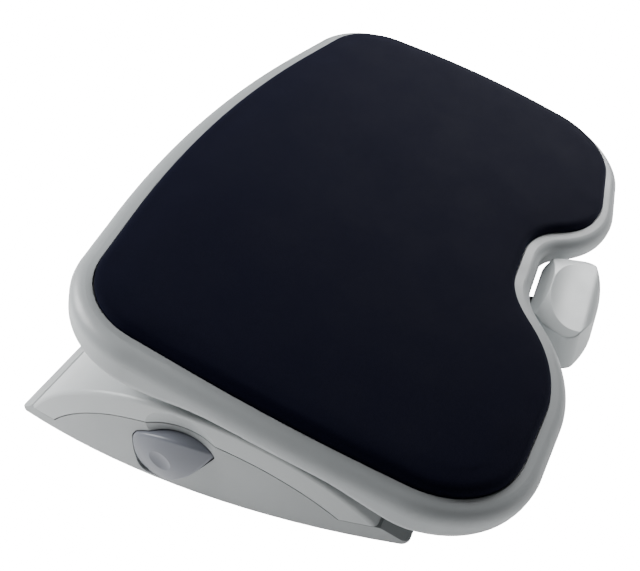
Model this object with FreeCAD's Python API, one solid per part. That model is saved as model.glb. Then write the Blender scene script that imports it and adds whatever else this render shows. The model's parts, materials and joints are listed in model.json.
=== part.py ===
import FreeCAD, Part
import math
import os
from FreeCAD import Vector as V

# Tilting under desk footrest, millimetres, +Z up, +Y away from the user, floor at z = 0.
# The origin is on the floor, under the middle of the whole footrest.
# The footrest stands at its lowest height, with the platform tilted towards the user.

os.makedirs("parts", exist_ok=True)

# Stance of the platform
tilt_at_rest = 16.2
pivot_height = 66.0
pivot_y = -8.6
pivot_drop = 35.4

# Pad outline in the platform's plane, right half: corner points and the radii that round them
pad_back_y = 180.3
pad_back_radius = 919.0
pad_corner_x = 252.6
pad_corner_y = 137.4
pad_corner_radius = 59.0
pad_side_x = 262.4
pad_side_y = -12.0
pad_side_radius = 934.0
pad_lobe_x = 251.0
pad_lobe_y = -156.2
pad_lobe_radius = 70.6
notch_mouth_x = 102.0
notch_mouth_y = -170.2
notch_mouth_radius = 92.3
notch_root_x = 43.5
notch_root_y = -113.9
notch_root_radius = 64.8

# Rim of the platform frame outside the pad
rim_back = 14.5
rim_upper_side = 18.0
rim_waist = 12.0
rim_lower_side = 15.0
rim_front = 15.0
rim_notch = 17.0
waist_radius = 1600.0

# Platform frame: saddle surface, skirt and ribs
side_rise = 3.3
front_fall = 5.5
saddle_half_width = 255.0
saddle_half_depth = 165.0
skirt_depth = 28.5
skirt_front_depth = 26.5
skirt_arch_depth = 17.0
skirt_arch_front_y = -55.0
skirt_arch_back_y = 30.0
skirt_slope_length = 46.0
skirt_blend_radius = 125.0
rim_round = 10.0
skirt_round = 8.5
frame_wall = 3.2
pocket_depth = 3.5
pocket_clearance = 0.5
deck_thickness = 3.0
rib_thickness = 2.2
rib_bottom = 15.0
rib_spacing = 50.0

# Foam pad
pad_height = 8.4
pad_round = 6.0
pad_tuck = 3.0
seat_gap = 0.3

# Plan of the base and the riser
base_front_y = -115.5
base_back_y = 194.5
base_end_half = 246.0
base_bulge = 17.0
base_corner_radius = 7.0
shell_wall = 3.0

# Heights of the base
foot_height = 2.0
floor_thickness = 3.0
front_ledge = 15.5
front_crest_y = -97.0
front_lip_height = 3.5
back_ledge = 12.5
back_crest_y = 181.0
back_lip_height = 3.0
lip_overrun = 0.05
wedge_nose = 8.0
wedge_skin = 3.5
hump_peak_y = 41.5
hump_peak_height = 60.0
hump_radius = 160.0
shell_gap = 0.8
base_rib_height = 2.0
base_rib_thickness = 2.0
base_rib_spacing = 52.0
floor_clear_half = 24.0
floor_clear_back_y = 40.0

# Riser cover
crown_y = 41.0
crown_height = 80.0
crown_radius = 176.0
crease_round = 3.0
height_travel = 36.0
deck_cut_bottom = 45.0
gate_gap = 4.0

# Tilt pivot
pivot_x = 100.0
axle_radius = 5.0
axle_groove_gap = 0.5
axle_overhang = 5.0
clip_inset = 3.0
clip_thickness = 1.0
clip_groove_width = 1.2
running_gap = 0.05
bush_wall = 3.0
bush_flange = 1.2
lug_half_width = 10.0
lug_wall = 4.0
cheek_thickness = 3.0
cheek_round = 9.0
bracket_half_length = 36.0
bracket_half_width = 24.0
bracket_foot_top = 37.0
bracket_screw_inset = 5.0
bracket_cheek_inset = 12.0
window_half_length = 24.0
ear_flange_thickness = 3.5
ear_flange_half_x = 26.0
ear_flange_half_y = 30.0
ear_screw_x = 18.0
ear_screw_y = 20.0
ear_lug_inset = 6.0
bush_collar = 2.0
bush_half_gap = 0.5

# Tilt brake
sector_outer = 36.0
sector_inner = 26.0
sector_neck = 11.0
sector_apex = 8.0
sector_thickness = 4.0
sector_half_angle = 34.0
sector_window_share = 0.6
sector_axle_gap = 1.5
sector_slot_gap = 2.0
sector_slot_reach = 4.0
sector_flange_half_x = 14.0
sector_flange_half_y = 26.0
shoe_half_width = 8.0
shoe_half_length = 9.0
shoe_thickness = 4.0
lever_thickness = 6.0
lever_half_width = 7.0
lever_pin_y = -31.0
lever_pin_z = 20.0
lever_pin_radius = 2.5
lever_front_reach = 22.0
lever_back_reach = 2.0
lever_nose_length = 10.0
lever_end_round = 1.5
hub_wall = 3.5
pin_head = 1.5
pin_overhang = 2.0

# Pedal and its bracket
pedal_pin_y = -73.0
pedal_pin_z = 14.5
pedal_pin_radius = 3.0
arm_half_width = 11.0
arm_thickness = 7.0
arm_tail_reach = 20.0
bracket_cheek_gap = 1.0
channel_bottom = 7.5
channel_floor = 2.5
channel_front_inset = 9.0
channel_back_reach = 24.0
channel_middle_shift = 14.0
channel_tab_offset = 26.0
channel_tab_reach = 16.0
channel_tab_half = 7.0
channel_tab_drop = 6.0
channel_hole_radius = 6.0
channel_hole_height = 13.0
spring_seat_height = 5.0
spring_seat_gap = 0.6
pedal_back_y = -143.0
pedal_ridge_y = -155.0
pedal_front_y = -194.5
pedal_back_half = 34.0
pedal_ridge_half = 47.0
pedal_half_width = 56.0
pedal_front_half = 22.0
pedal_front_sweep = 12.2
pedal_back_round = 16.0
pedal_ridge_round = 30.0
pedal_corner_round = 11.0
pedal_bow_radius = 120.0
pedal_ridge_sweep = 2.0
pedal_bottom = 12.0
pedal_top = 54.0
pedal_back_drop = 12.0
pedal_front_drop = 7.0
pedal_nose_drop = 17.0
pedal_nose_length = 11.0
pedal_nose_bulge = 3.5
pedal_nose_fall = 3.0
pedal_nose_slant = 0.7
pedal_scoop = 2.2
pedal_crown_radius = 150.0
pedal_wall = 2.8
pedal_round = 1.2
pedal_screw_x = 7.0
pedal_screw_back = 4.0
pedal_post_radius = 4.5
pedal_post_height = 14.0
pedal_gate_gap = 2.0
pedal_gate_height = 16.0

# Height buttons and their latches
latch_y = 55.5
latch_z = 50.0
button_tip = (12.3, 48.6, 3.6)
button_crest = (46.0, 59.4, 66.0)
button_shoulder = (76.9, 43.9, 13.0)
button_back = (79.0, 25.0, 60.0)
button_heel = (77.2, 5.0, 9.0)
button_toe = (53.1, 5.0, 20.0)
button_belly = (32.2, 23.6, 90.0)
button_proud = 6.5
button_flange = 5.0
button_wall = 2.5
button_gap = 0.8
button_travel = 4.0
button_round = 2.6
button_post_radius = 5.0
button_screw_lift = 2.0
button_face_radius = 88.0
button_face_y = 46.0
button_face_z = 33.0
scoop_middle_y = 38.0
scoop_middle_z = 58.0
scoop_tube_radius = 35.0
scoop_sweep_radius = 38.0
scoop_depth = 5.0
scoop_backing = 2.0
dish_radius = 9.5
dish_centre_y = 56.0
dish_centre_z = 31.0
dish_depth = 1.6
plate_thickness = 2.0
plate_top_half = 12.0
plate_low_half = 15.0
plate_above_plunger = 6.0
plate_below_dish = 8.0
plate_corner = 4.0
plunger_radius = 3.0
collar_radius = 6.0
collar_length = 4.0
guide_inset = 7.0
guide_wall_thickness = 3.0
rail_clearance = 2.5
rail_thickness = 3.0
rail_tab_y = 16.0
rail_tab_half = 8.0
rail_tab_reach = 24.0
rail_boss_inset = 14.0
rail_floor_gap = 1.0
post_size = 12.0
post_spacing = 68.0
post_top = 56.5
sleeve_wall = 3.0
slide_gap = 0.4
height_step = 12.0

# Springs
wire_radius = 0.5
button_spring_radius = 4.6
button_spring_turns = 3
brake_spring_radius = 5.0
brake_spring_turns = 4

# Feet and screws
foot_radius = 10.0
foot_recess = 1.0
foot_chamfer = 0.6
foot_gap = 0.3
foot_inset_x = 28.0
foot_inset_y = 30.0
screw_radius = 1.5
screw_head_radius = 3.0
screw_head_height = 2.0
screw_length = 8.0
screw_slot_half = 0.4
screw_clearance = 0.2
screw_boss_wall = 1.0
guide_screw_recess = 1.2

# Worked out from the sizes above
tilt = math.radians(tilt_at_rest)
platform_y = pivot_y - pivot_drop * math.sin(tilt)
platform_z = pivot_height + pivot_drop * math.cos(tilt)
floor_top = foot_height + floor_thickness
deck_level = pocket_depth + deck_thickness
crown_z = crown_height - crown_radius
guide_wall_x = base_end_half - guide_inset
screw_hole_radius = screw_radius + screw_clearance
boss_radius = screw_head_radius + screw_boss_wall
far = 400.0


# Plane shapes

def polygon(points):
    """Flat face with straight edges through the points."""
    return Part.Face(Part.makePolygon(points + [points[0]]))


def rounded(corners):
    """Flat face whose straight edges meet in tangent arcs; a corner is x, y, radius."""
    arcs = []
    count = len(corners)
    for i in range(count):
        x, y, radius = corners[i]
        here = V(x, y, 0)
        back = V(corners[i - 1][0], corners[i - 1][1], 0) - here
        ahead = V(corners[(i + 1) % count][0], corners[(i + 1) % count][1], 0) - here
        half = back.getAngle(ahead) / 2
        back.normalize()
        ahead.normalize()
        middle = back + ahead
        middle.normalize()
        tangent = radius / math.tan(half)
        start = here + back * tangent
        end = here + ahead * tangent
        arcs.append((start, here + middle * (radius / math.sin(half) - radius), end))
    edges = []
    for i in range(count):
        start, middle, end = arcs[i]
        edges.append(Part.Arc(start, middle, end).toShape())
        following = arcs[(i + 1) % count][0]
        if (following - end).Length > 0.001:
            edges.append(Part.makeLine(end, following))
    return Part.Face(Part.Wire(edges))


def mirrored(half):
    """Whole outline from its right half, whose first point is on the middle line."""
    return half + [(-x, y, radius) for x, y, radius in reversed(half[1:])]


def moved_out(corners, rims):
    """The clockwise outline with each edge moved out by its own rim."""
    count = len(corners)
    moved = []
    for i in range(count):
        here = V(corners[i][0], corners[i][1], 0)
        before = here - V(corners[i - 1][0], corners[i - 1][1], 0)
        after = V(corners[(i + 1) % count][0], corners[(i + 1) % count][1], 0) - here
        before.normalize()
        after.normalize()
        out_before = V(-before.y, before.x, 0)
        out_after = V(-after.y, after.x, 0)
        rim_before = rims[i - 1]
        rim_after = rims[i]
        turn = before.x * after.y - before.y * after.x
        if abs(turn) < 1e-6:
            point = here + out_before * rim_before
        else:
            gap = (out_after * rim_after - out_before * rim_before)
            step = (gap.x * after.y - gap.y * after.x) / turn
            point = here + out_before * rim_before + before * step
        side = 1 if turn < 0 else -1
        radius = corners[i][2] + side * (rim_before + rim_after) / 2
        moved.append((point.x, point.y, radius))
    return moved


def prism(face, bottom, top):
    """The flat face raised into a solid from bottom to top."""
    solid = face.extrude(V(0, 0, top - bottom))
    solid.translate(V(0, 0, bottom))
    return solid


def box(x0, x1, y0, y1, z0, z1):
    """Box between two corners."""
    return Part.makeBox(x1 - x0, y1 - y0, z1 - z0, V(x0, y0, z0))


def rod_x(radius, x0, x1, y, z):
    """Round rod along X."""
    return Part.makeCylinder(radius, x1 - x0, V(x0, y, z), V(1, 0, 0))


def rod_z(radius, x, y, z0, z1):
    """Round rod along Z."""
    return Part.makeCylinder(radius, z1 - z0, V(x, y, z0), V(0, 0, 1))


def side_profile(face_yz, x0, x1):
    """A face drawn as x = y and y = z, stood up and extruded along X."""
    solid = face_yz.copy()
    solid.rotate(V(0, 0, 0), V(1, 1, 1), 120)
    solid.translate(V(x0, 0, 0))
    return solid.extrude(V(x1 - x0, 0, 0))


def mirror_x(shape):
    """The same piece on the other side."""
    return shape.mirror(V(0, 0, 0), V(1, 0, 0))


def fuse_all(shapes):
    """All shapes joined into one."""
    whole = shapes[0]
    if len(shapes) > 1:
        whole = whole.multiFuse(shapes[1:])
    return whole.removeSplitter()


# Platform outlines and the saddle surface

def pad_corners():
    """Corners of the pad's outline, clockwise from the back's middle."""
    return mirrored([
        (0.0, pad_back_y, pad_back_radius),
        (pad_corner_x, pad_corner_y, pad_corner_radius),
        (pad_side_x, pad_side_y, pad_side_radius),
        (pad_lobe_x, pad_lobe_y, pad_lobe_radius),
        (notch_mouth_x, notch_mouth_y, notch_mouth_radius),
        (notch_root_x, notch_root_y, notch_root_radius),
    ])


def frame_corners(inset=0.0):
    """Corners of the frame's outline, or of one that lies inset inside it."""
    half = [rim_back, rim_upper_side, rim_lower_side, rim_front, rim_notch]
    rims = half + [rim_notch] + half[::-1]
    corners = moved_out(pad_corners(), [rim - inset for rim in rims])
    waist_x = pad_side_x + rim_waist - inset
    for i, x in ((2, waist_x), (-2, -waist_x)):
        corners[i] = (x, pad_side_y, waist_radius - inset)
    return corners


def grown(corners, amount):
    """The outline moved out evenly."""
    return moved_out(corners, [amount] * len(corners))


def under_saddle(level):
    """Everything under the platform's saddle surface, moved up by level."""
    reach = saddle_half_width + 50
    depth = 80.0
    rise = side_rise * (reach / saddle_half_width) ** 2
    arch_radius = saddle_half_depth ** 2 / (2 * front_fall)
    left = V(-reach, 0, level + rise)
    right = V(reach, 0, level + rise)
    low_left = V(-reach, 0, -depth)
    low_right = V(reach, 0, -depth)
    wire = Part.Wire([
        Part.Arc(left, V(0, 0, level), right).toShape(),
        Part.makeLine(right, low_right),
        Part.makeLine(low_right, low_left),
        Part.makeLine(low_left, left),
    ])
    face = Part.Face(wire)
    axis = V(0, 0, -arch_radius)
    swing = math.degrees(math.asin((saddle_half_depth + 70) / arch_radius))
    face.rotate(axis, V(1, 0, 0), -swing)
    return face.revolve(axis, V(1, 0, 0), 2 * swing)


def stand(shape):
    """A platform piece tilted and set over its pivot."""
    shape.rotate(V(0, 0, 0), V(1, 0, 0), tilt_at_rest)
    shape.translate(V(0, platform_y, platform_z))
    return shape


def top_edges(shape, level):
    """Edges that lie wholly above level."""
    return [edge for edge in shape.Edges if edge.BoundBox.ZMin > level]


def bottom_edges(shape, level):
    """Edges that lie wholly below level."""
    return [edge for edge in shape.Edges if edge.BoundBox.ZMax < level]


# Platform pieces, drawn flat and then tilted

def ear_screw_places():
    """Screw places of both ears and the sector flange, in the platform's plane."""
    places = []
    for middle in (-pivot_x, pivot_x):
        for dx in (-ear_screw_x, ear_screw_x):
            for dy in (-ear_screw_y, ear_screw_y):
                places.append((middle + dx, dy))
    for dy in (-ear_screw_y, ear_screw_y):
        places.append((0.0, dy))
    return places


def platform_ribs():
    """Rib grid and screw bosses under the deck."""
    ribs = []
    for i in range(-5, 6):
        x = i * rib_spacing
        ribs.append(box(x - rib_thickness / 2, x + rib_thickness / 2, -far, far, -rib_bottom, 0))
    for i in range(-3, 4):
        y = i * rib_spacing
        ribs.append(box(-far, far, y - rib_thickness / 2, y + rib_thickness / 2, -rib_bottom, 0))
    for x, y in ear_screw_places():
        ribs.append(rod_z(boss_radius, x, y, -rib_bottom, 0))
    grid = fuse_all(ribs)
    inside = prism(rounded(frame_corners(frame_wall - 0.5)), -skirt_depth, 20)
    return grid.common(inside).common(under_saddle(-pocket_depth - deck_thickness / 2))


def above_skirt_line():
    """Everything above the skirt's lower line, which arches up along the middle of each side."""
    front_end = skirt_arch_front_y - skirt_slope_length
    back_end = skirt_arch_back_y + skirt_slope_length
    corners = [
        (-far, -skirt_front_depth, 1.0),
        (front_end, -skirt_front_depth, skirt_blend_radius),
        (skirt_arch_front_y, -skirt_arch_depth, skirt_blend_radius),
        (skirt_arch_back_y, -skirt_arch_depth, skirt_blend_radius),
        (back_end, -skirt_depth, skirt_blend_radius),
        (far, -skirt_depth, 1.0),
        (far, 60.0, 1.0),
        (-far, 60.0, 1.0),
    ]
    return side_profile(rounded(corners), -far, far)


def platform_frame():
    """Moulded frame: bullnosed rim, arched skirt, pocket for the pad, ribs under the deck."""
    body = prism(rounded(frame_corners()), -skirt_depth - 5, 30).common(under_saddle(0))
    body = body.common(above_skirt_line())
    body = body.makeFillet(rim_round, top_edges(body, -skirt_arch_depth / 2))
    rim_line = [edge for edge in bottom_edges(body, 1 - skirt_arch_depth) if edge.BoundBox.YLength > 0.01]
    body = body.makeFillet(skirt_round, rim_line)
    hollow = prism(rounded(frame_corners(frame_wall)), -skirt_depth - 1, 20)
    body = body.cut(hollow.common(under_saddle(-deck_level)))
    pocket = prism(rounded(grown(pad_corners(), pocket_clearance)), -20, 30)
    body = body.cut(pocket.cut(under_saddle(-pocket_depth)))
    body = body.fuse(platform_ribs())
    holes = [rod_z(screw_radius, x, y, -rib_bottom - 1, -deck_level - 3) for x, y in ear_screw_places()]
    body = body.cut(Part.makeCompound(holes))
    return stand(body)


def foam_pad():
    """Covered foam pad seated in the frame's pocket, its edge rolled over."""
    body = prism(rounded(pad_corners()), -30, 30).common(under_saddle(pad_height))
    body = body.cut(under_saddle(seat_gap - pocket_depth))
    body = body.makeFillet(pad_round, top_edges(body, 0))
    body = body.makeFillet(pad_tuck, bottom_edges(body, pad_height / 2))
    return stand(body)


def screws(places, head_top):
    """Pan head screws driven upwards: the shanks rise from head_top, the heads are below."""
    pieces = []
    for x, y in places:
        shank = rod_z(screw_radius - running_gap, x, y, head_top, head_top + screw_length)
        head = rod_z(screw_head_radius, x, y, head_top - screw_head_height, head_top)
        slot = box(x - screw_head_radius, x + screw_head_radius, y - screw_slot_half, y + screw_slot_half,
                   head_top - screw_head_height - 1, head_top - screw_head_height / 2)
        pieces.append(head.cut(slot).fuse(shank))
    return pieces


def lug_profile(half_root, root_z, radius, centre_z):
    """Side outline of a lug: wide at its root, tapering to a round end about the pivot."""
    way = math.copysign(1, root_z - centre_z)
    rise = abs(root_z - centre_z)
    touch = math.atan2(rise, half_root) - math.acos(radius / math.hypot(half_root, rise))
    touch_y = radius * math.cos(touch)
    touch_z = centre_z + way * radius * math.sin(touch)
    wire = Part.Wire([
        Part.makeLine(V(-half_root, root_z, 0), V(half_root, root_z, 0)),
        Part.makeLine(V(half_root, root_z, 0), V(touch_y, touch_z, 0)),
        Part.Arc(V(touch_y, touch_z, 0), V(0, centre_z - way * radius, 0), V(-touch_y, touch_z, 0)).toShape(),
        Part.makeLine(V(-touch_y, touch_z, 0), V(-half_root, root_z, 0)),
    ])
    return Part.Face(wire)


def pivot_ear(side):
    """Hinge ear under the platform: a screwed flange and a lug bored for the bushes."""
    middle = side * pivot_x
    top = -rib_bottom
    flange = box(middle - ear_flange_half_x, middle + ear_flange_half_x,
                 -ear_flange_half_y, ear_flange_half_y, top - ear_flange_thickness, top)
    radius = axle_radius + bush_wall + lug_wall
    face = lug_profile(ear_flange_half_y - ear_lug_inset, top - 1, radius, -pivot_drop)
    lug = side_profile(face, middle - lug_half_width, middle + lug_half_width)
    bore = rod_x(axle_radius + bush_wall + running_gap, middle - far, middle + far, 0, -pivot_drop)
    holes = [rod_z(screw_hole_radius, x, y, top - 20, top + 1)
             for x, y in ear_screw_places() if abs(x - middle) < ear_flange_half_x]
    body = flange.fuse(lug).removeSplitter().cut(bore)
    return stand(body.cut(Part.makeCompound(holes)))


def axle_bushes():
    """Flanged bushes, one in each end of each ear."""
    bushes = []
    outer = axle_radius + bush_wall
    for middle in (-pivot_x, pivot_x):
        for side in (-1, 1):
            mouth = middle + side * lug_half_width
            inner_end = middle + side * bush_half_gap
            tip = mouth + side * bush_flange
            barrel = rod_x(outer, min(inner_end, tip), max(inner_end, tip), 0, -pivot_drop)
            collar = rod_x(outer + bush_collar, min(mouth, tip), max(mouth, tip), 0, -pivot_drop)
            bore = rod_x(axle_radius + running_gap, middle - far, middle + far, 0, -pivot_drop)
            bushes.append(barrel.fuse(collar).removeSplitter().cut(bore))
    return stand(Part.makeCompound(bushes))


def ear_screws():
    """Screws that hold the ears and the brake sector to the platform's bosses."""
    return stand(Part.makeCompound(screws(ear_screw_places(), -rib_bottom - ear_flange_thickness)))


def brake_sector():
    """Brake plate in the middle: a fan with a round rim about the pivot, hung from a flange."""
    top = -rib_bottom
    flange = box(-sector_flange_half_x, sector_flange_half_x, -sector_flange_half_y, sector_flange_half_y,
                 top - ear_flange_thickness, top)
    half = sector_thickness / 2
    disc = rod_x(sector_outer, -half, half, 0, -pivot_drop)
    spread = math.tan(math.radians(sector_half_angle))
    apex = -pivot_drop + sector_apex
    fan = polygon([V(0, apex, 0), V(-far * spread, apex - far, 0), V(far * spread, apex - far, 0)])
    fan = disc.common(side_profile(fan, -half, half))
    neck = box(-half, half, -sector_neck, sector_neck, -pivot_drop - sector_neck, top - 1)
    window = rod_x(sector_inner, -far, far, 0, -pivot_drop)
    window = window.cut(rod_x(sector_neck, -far, far, 0, -pivot_drop))
    narrow = spread * sector_window_share
    slice_face = polygon([V(0, -pivot_drop, 0), V(-far * narrow, -pivot_drop - far, 0),
                          V(far * narrow, -pivot_drop - far, 0)])
    window = window.common(side_profile(slice_face, -far, far))
    body = fuse_all([flange, neck, fan]).cut(window)
    body = body.cut(rod_x(axle_radius + sector_axle_gap, -far, far, 0, -pivot_drop))
    places = [(x, y) for x, y in ear_screw_places() if abs(x) < 1]
    holes = [rod_z(screw_hole_radius, x, y, top - 20, top + 1) for x, y in places]
    return stand(body.cut(Part.makeCompound(holes)))


# Plan and side outlines of the base and riser

def side_radius():
    """Radius of the bulging side walls in plan."""
    half_chord = (base_back_y - base_front_y) / 2
    return (half_chord ** 2 + base_bulge ** 2) / (2 * base_bulge)


def side_slab(inset, bottom, top):
    """Everything between the two bulging side walls, moved in by inset."""
    middle_y = (base_front_y + base_back_y) / 2
    offset = base_end_half + base_bulge - side_radius()
    right = rod_z(side_radius() - inset, offset, middle_y, bottom, top)
    left = rod_z(side_radius() - inset, -offset, middle_y, bottom, top)
    return right.common(left)


def side_wall_x():
    """Outer face of the side wall at the latch, on the right."""
    middle_y = (base_front_y + base_back_y) / 2
    offset = base_end_half + base_bulge - side_radius()
    return offset + math.sqrt(side_radius() ** 2 - (latch_y - middle_y) ** 2)


def plan_prism(inset, bottom, top):
    """Plan of the base raised into a solid, its upright corners rounded."""
    ends = box(-far, far, base_front_y + inset, base_back_y - inset, bottom, top)
    solid = side_slab(inset, bottom, top).common(ends)
    upright = [edge for edge in solid.Edges if edge.BoundBox.ZLength > (top - bottom) * 0.9]
    return solid.makeFillet(max(base_corner_radius - inset, 1.0), upright)


def hump_edges(gap):
    """Side outline of the base's hump: one arc from the front ledge over the peak to the back ledge."""
    radius = hump_radius + gap
    centre_z = hump_peak_height - hump_radius
    foot = V(hump_peak_y - math.sqrt(radius ** 2 - (front_ledge - centre_z) ** 2), front_ledge, 0)
    heel = V(hump_peak_y + math.sqrt(radius ** 2 - (back_ledge - centre_z) ** 2), back_ledge, 0)
    peak = V(hump_peak_y, hump_peak_height + gap, 0)
    return Part.Arc(foot, peak, heel).toShape(), foot, heel


def hump_prism(gap):
    """The hump's outline with a gap round it, extruded right across."""
    arc, foot, heel = hump_edges(gap)
    low_heel = V(heel.x, -10, 0)
    low_foot = V(foot.x, -10, 0)
    corners = [heel, low_heel, low_foot, foot]
    edges = [arc] + [Part.makeLine(a, b) for a, b in zip(corners, corners[1:])]
    return side_profile(Part.Face(Part.Wire(edges)), -far, far)


def base_block():
    """Solid of the base's outside: wedge shaped front and back edges and the humps between."""
    arc, foot, heel = hump_edges(0.0)
    front_crest = V(front_crest_y, front_ledge, 0)
    front_lip = V(base_front_y, front_lip_height, 0)
    front_end = front_lip + (front_lip - front_crest) * lip_overrun
    back_crest = V(back_crest_y, back_ledge, 0)
    back_lip = V(base_back_y, back_lip_height, 0)
    back_end = back_lip + (back_lip - back_crest) * lip_overrun
    corners = [heel, back_crest, back_end, V(back_end.x, 0, 0)]
    corners += [V(front_end.x, 0, 0), front_end, front_crest, foot]
    edges = [arc] + [Part.makeLine(a, b) for a, b in zip(corners, corners[1:])]
    profile = side_profile(Part.Face(Part.Wire(edges)), -far, far)
    return profile.common(plan_prism(0, foot_height, 80))


def wedge_hollow(crest_y, crest_height, lip_y, lip_height, inner_y, grow):
    """Hollow under a wedge shaped edge of the base, grown towards its skin, right across."""
    way = math.copysign(1, crest_y - lip_y)
    slope = (crest_height - lip_height) / abs(crest_y - lip_y)
    nose = wedge_nose - grow
    start = lip_y + way * nose
    end = inner_y + way * grow
    top = crest_height - wedge_skin + grow
    low = lip_height + nose * slope - wedge_skin + grow
    face = polygon([V(start, 0, 0), V(start, low, 0), V(crest_y, top, 0), V(end, top, 0), V(end, 0, 0)])
    return side_profile(face, -far, far)


def wedge_hollows(grow):
    """The hollows under the front and back edges."""
    front = wedge_hollow(front_crest_y, front_ledge, base_front_y, front_lip_height, riser_front_y(), grow)
    back = wedge_hollow(back_crest_y, back_ledge, base_back_y, back_lip_height, riser_back_y(), grow)
    return front.fuse(back)


def riser_front_y():
    """Where the riser's crown surface comes down to the front ledge."""
    return crown_y - math.sqrt(crown_radius ** 2 - (front_ledge + seat_gap - crown_z) ** 2)


def riser_back_y():
    """Where the riser's crown surface comes down to the back ledge."""
    return crown_y + math.sqrt(crown_radius ** 2 - (back_ledge + seat_gap - crown_z) ** 2)


def under_crown(depth):
    """Everything under the riser's crown surface, moved in by depth."""
    return rod_x(crown_radius - depth, -far, far, crown_y, crown_z)


# Buttons: outline shared by the hole, the scoop and the cap

def button_face(grow):
    """Outline of the height button, drawn as y and z, moved out by grow."""
    corners = [button_tip, button_crest, button_shoulder, button_back, button_heel, button_toe, button_belly]
    return rounded(moved_out(corners, [grow] * len(corners)))


def button_prism(grow, x0, x1):
    """The button's outline as a solid along X."""
    return side_profile(button_face(grow), x0, x1)


def scoop(side, backing=0.0):
    """Finger scoop round the top of the button, across the seam; backing grows its tube."""
    reach = side_wall_x() - scoop_depth + scoop_sweep_radius + scoop_tube_radius
    ring = Part.makeTorus(scoop_sweep_radius, scoop_tube_radius + backing)
    ring.translate(V(side * reach, scoop_middle_y, scoop_middle_z))
    near = side * (side_wall_x() + 5)
    return ring.common(box(min(0, near), max(0, near), -far, far, -far, far))


# Base pieces

def screw_posts():
    """Places of the screws that hold the guide frames to the base floor."""
    places = []
    for side in (-1, 1):
        for end in (-1, 1):
            places.append((side * (guide_wall_x - post_size / 2), latch_y + end * post_spacing / 2))
    return places


def foot_places():
    """Places of the rubber feet."""
    x = base_end_half - foot_inset_x
    places = []
    for y in (base_front_y + foot_inset_y, base_back_y - foot_inset_y):
        for side in (-1, 0, 1):
            places.append((side * x, y))
    return places


def base_tray():
    """Lower shell: floor, ledges, side humps with the button holes and floor ribs."""
    body = base_block()
    inside = plan_prism(shell_wall, floor_top, 90)
    front = riser_front_y() + shell_wall
    back = riser_back_y() - shell_wall
    hollow = inside.common(box(-far, far, front, back, 0, 100))
    body = body.cut(hollow)
    body = body.cut(wedge_hollows(0.0).common(plan_prism(shell_wall, 0, front_ledge)))
    half = base_rib_thickness / 2
    edge_ribs = [box(i * base_rib_spacing - half, i * base_rib_spacing + half, -far, far,
                     foot_height, front_ledge) for i in range(-4, 5)]
    edge_ribs = Part.makeCompound(edge_ribs).common(wedge_hollows(1.0))
    edge_ribs = edge_ribs.common(plan_prism(shell_wall / 2, foot_height, 80))
    rib_top = floor_top + base_rib_height
    floor_ribs = [box(i * base_rib_spacing - half, i * base_rib_spacing + half, front - 1, back + 1,
                      floor_top - 1, rib_top) for i in (-3, -1, 1, 3)]
    reach = guide_wall_x - guide_wall_thickness
    floor_ribs += [box(-reach, reach, i * base_rib_spacing - half, i * base_rib_spacing + half,
                       floor_top - 1, rib_top) for i in range(-1, 3)]
    clear = box(-floor_clear_half, floor_clear_half, base_front_y, floor_clear_back_y, floor_top, rib_top + 1)
    guide_room = (post_spacing + post_size) / 2 + 2 * sleeve_wall
    for side in (-1, 1):
        x = side * guide_wall_x
        ends = sorted((x, x - side * 2 * post_size))
        clear = clear.fuse(box(ends[0], ends[1], latch_y - guide_room, latch_y + guide_room,
                               floor_top, rib_top + 1))
    grid = fuse_all(floor_ribs).cut(clear)
    body = body.multiFuse([grid, edge_ribs]).removeSplitter()
    gate = arm_half_width + gate_gap
    body = body.cut(box(-gate, gate, base_front_y - 10, front + 2, floor_top, 40))
    backing = [base_block().common(scoop(side, scoop_backing)) for side in (-1, 1)]
    body = body.multiFuse(backing)
    for side in (-1, 1):
        ends = sorted((side * (button_inner_x() - plate_thickness), side * (side_wall_x() + 20)))
        body = body.cut(button_prism(button_gap, ends[0], ends[1]))
        body = body.cut(scoop(side))
    for x, y in foot_places():
        body = body.cut(rod_z(foot_radius + foot_gap, x, y, 0, foot_height + foot_recess))
    for x, y in screw_posts():
        body = body.cut(rod_z(screw_hole_radius, x, y, 0, 10))
        body = body.cut(rod_z(screw_head_radius + slide_gap, x, y, 0, foot_height + guide_screw_recess))
    return body


def rubber_feet():
    """Round rubber feet set into the underside."""
    feet = []
    for x, y in foot_places():
        foot = rod_z(foot_radius, x, y, 0, foot_height + foot_recess)
        feet.append(foot.makeChamfer(foot_chamfer, [edge for edge in foot.Edges if edge.BoundBox.ZMax < 0.1]))
    return Part.makeCompound(feet)


def guide_frame(side):
    """Latch wall with a guide post at each end, screwed to the base floor."""
    outer = guide_wall_x + guide_wall_thickness
    half = post_spacing / 2 + post_size / 2
    wall = box(guide_wall_x, outer, latch_y - half, latch_y + half, floor_top, post_top)
    pieces = [wall]
    for end in (-1, 1):
        y = latch_y + end * post_spacing / 2
        post = box(guide_wall_x - post_size, guide_wall_x + 1, y - post_size / 2, y + post_size / 2,
                   floor_top, post_top)
        pieces.append(post)
    body = fuse_all(pieces)
    body = body.cut(rod_x(plunger_radius + slide_gap, guide_wall_x - 1, outer + 1, latch_y, latch_z))
    for end in (-1, 1):
        y = latch_y + end * post_spacing / 2
        x = guide_wall_x - post_size / 2
        body = body.cut(rod_z(screw_radius, x, y, floor_top - 1, floor_top + screw_length + 1))
    return body if side > 0 else mirror_x(body)


def guide_screws():
    """Screws from below that hold the guide frames."""
    return Part.makeCompound(screws(screw_posts(), foot_height + guide_screw_recess))


# Height buttons

def button_inner_x():
    """Inner end of the button's flange, where the latch plate lies, on the right."""
    return side_wall_x() - shell_wall - button_flange


def button_screw_z():
    """Height of the screw that holds the latch plate to the button."""
    return dish_centre_z + button_screw_lift


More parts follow.
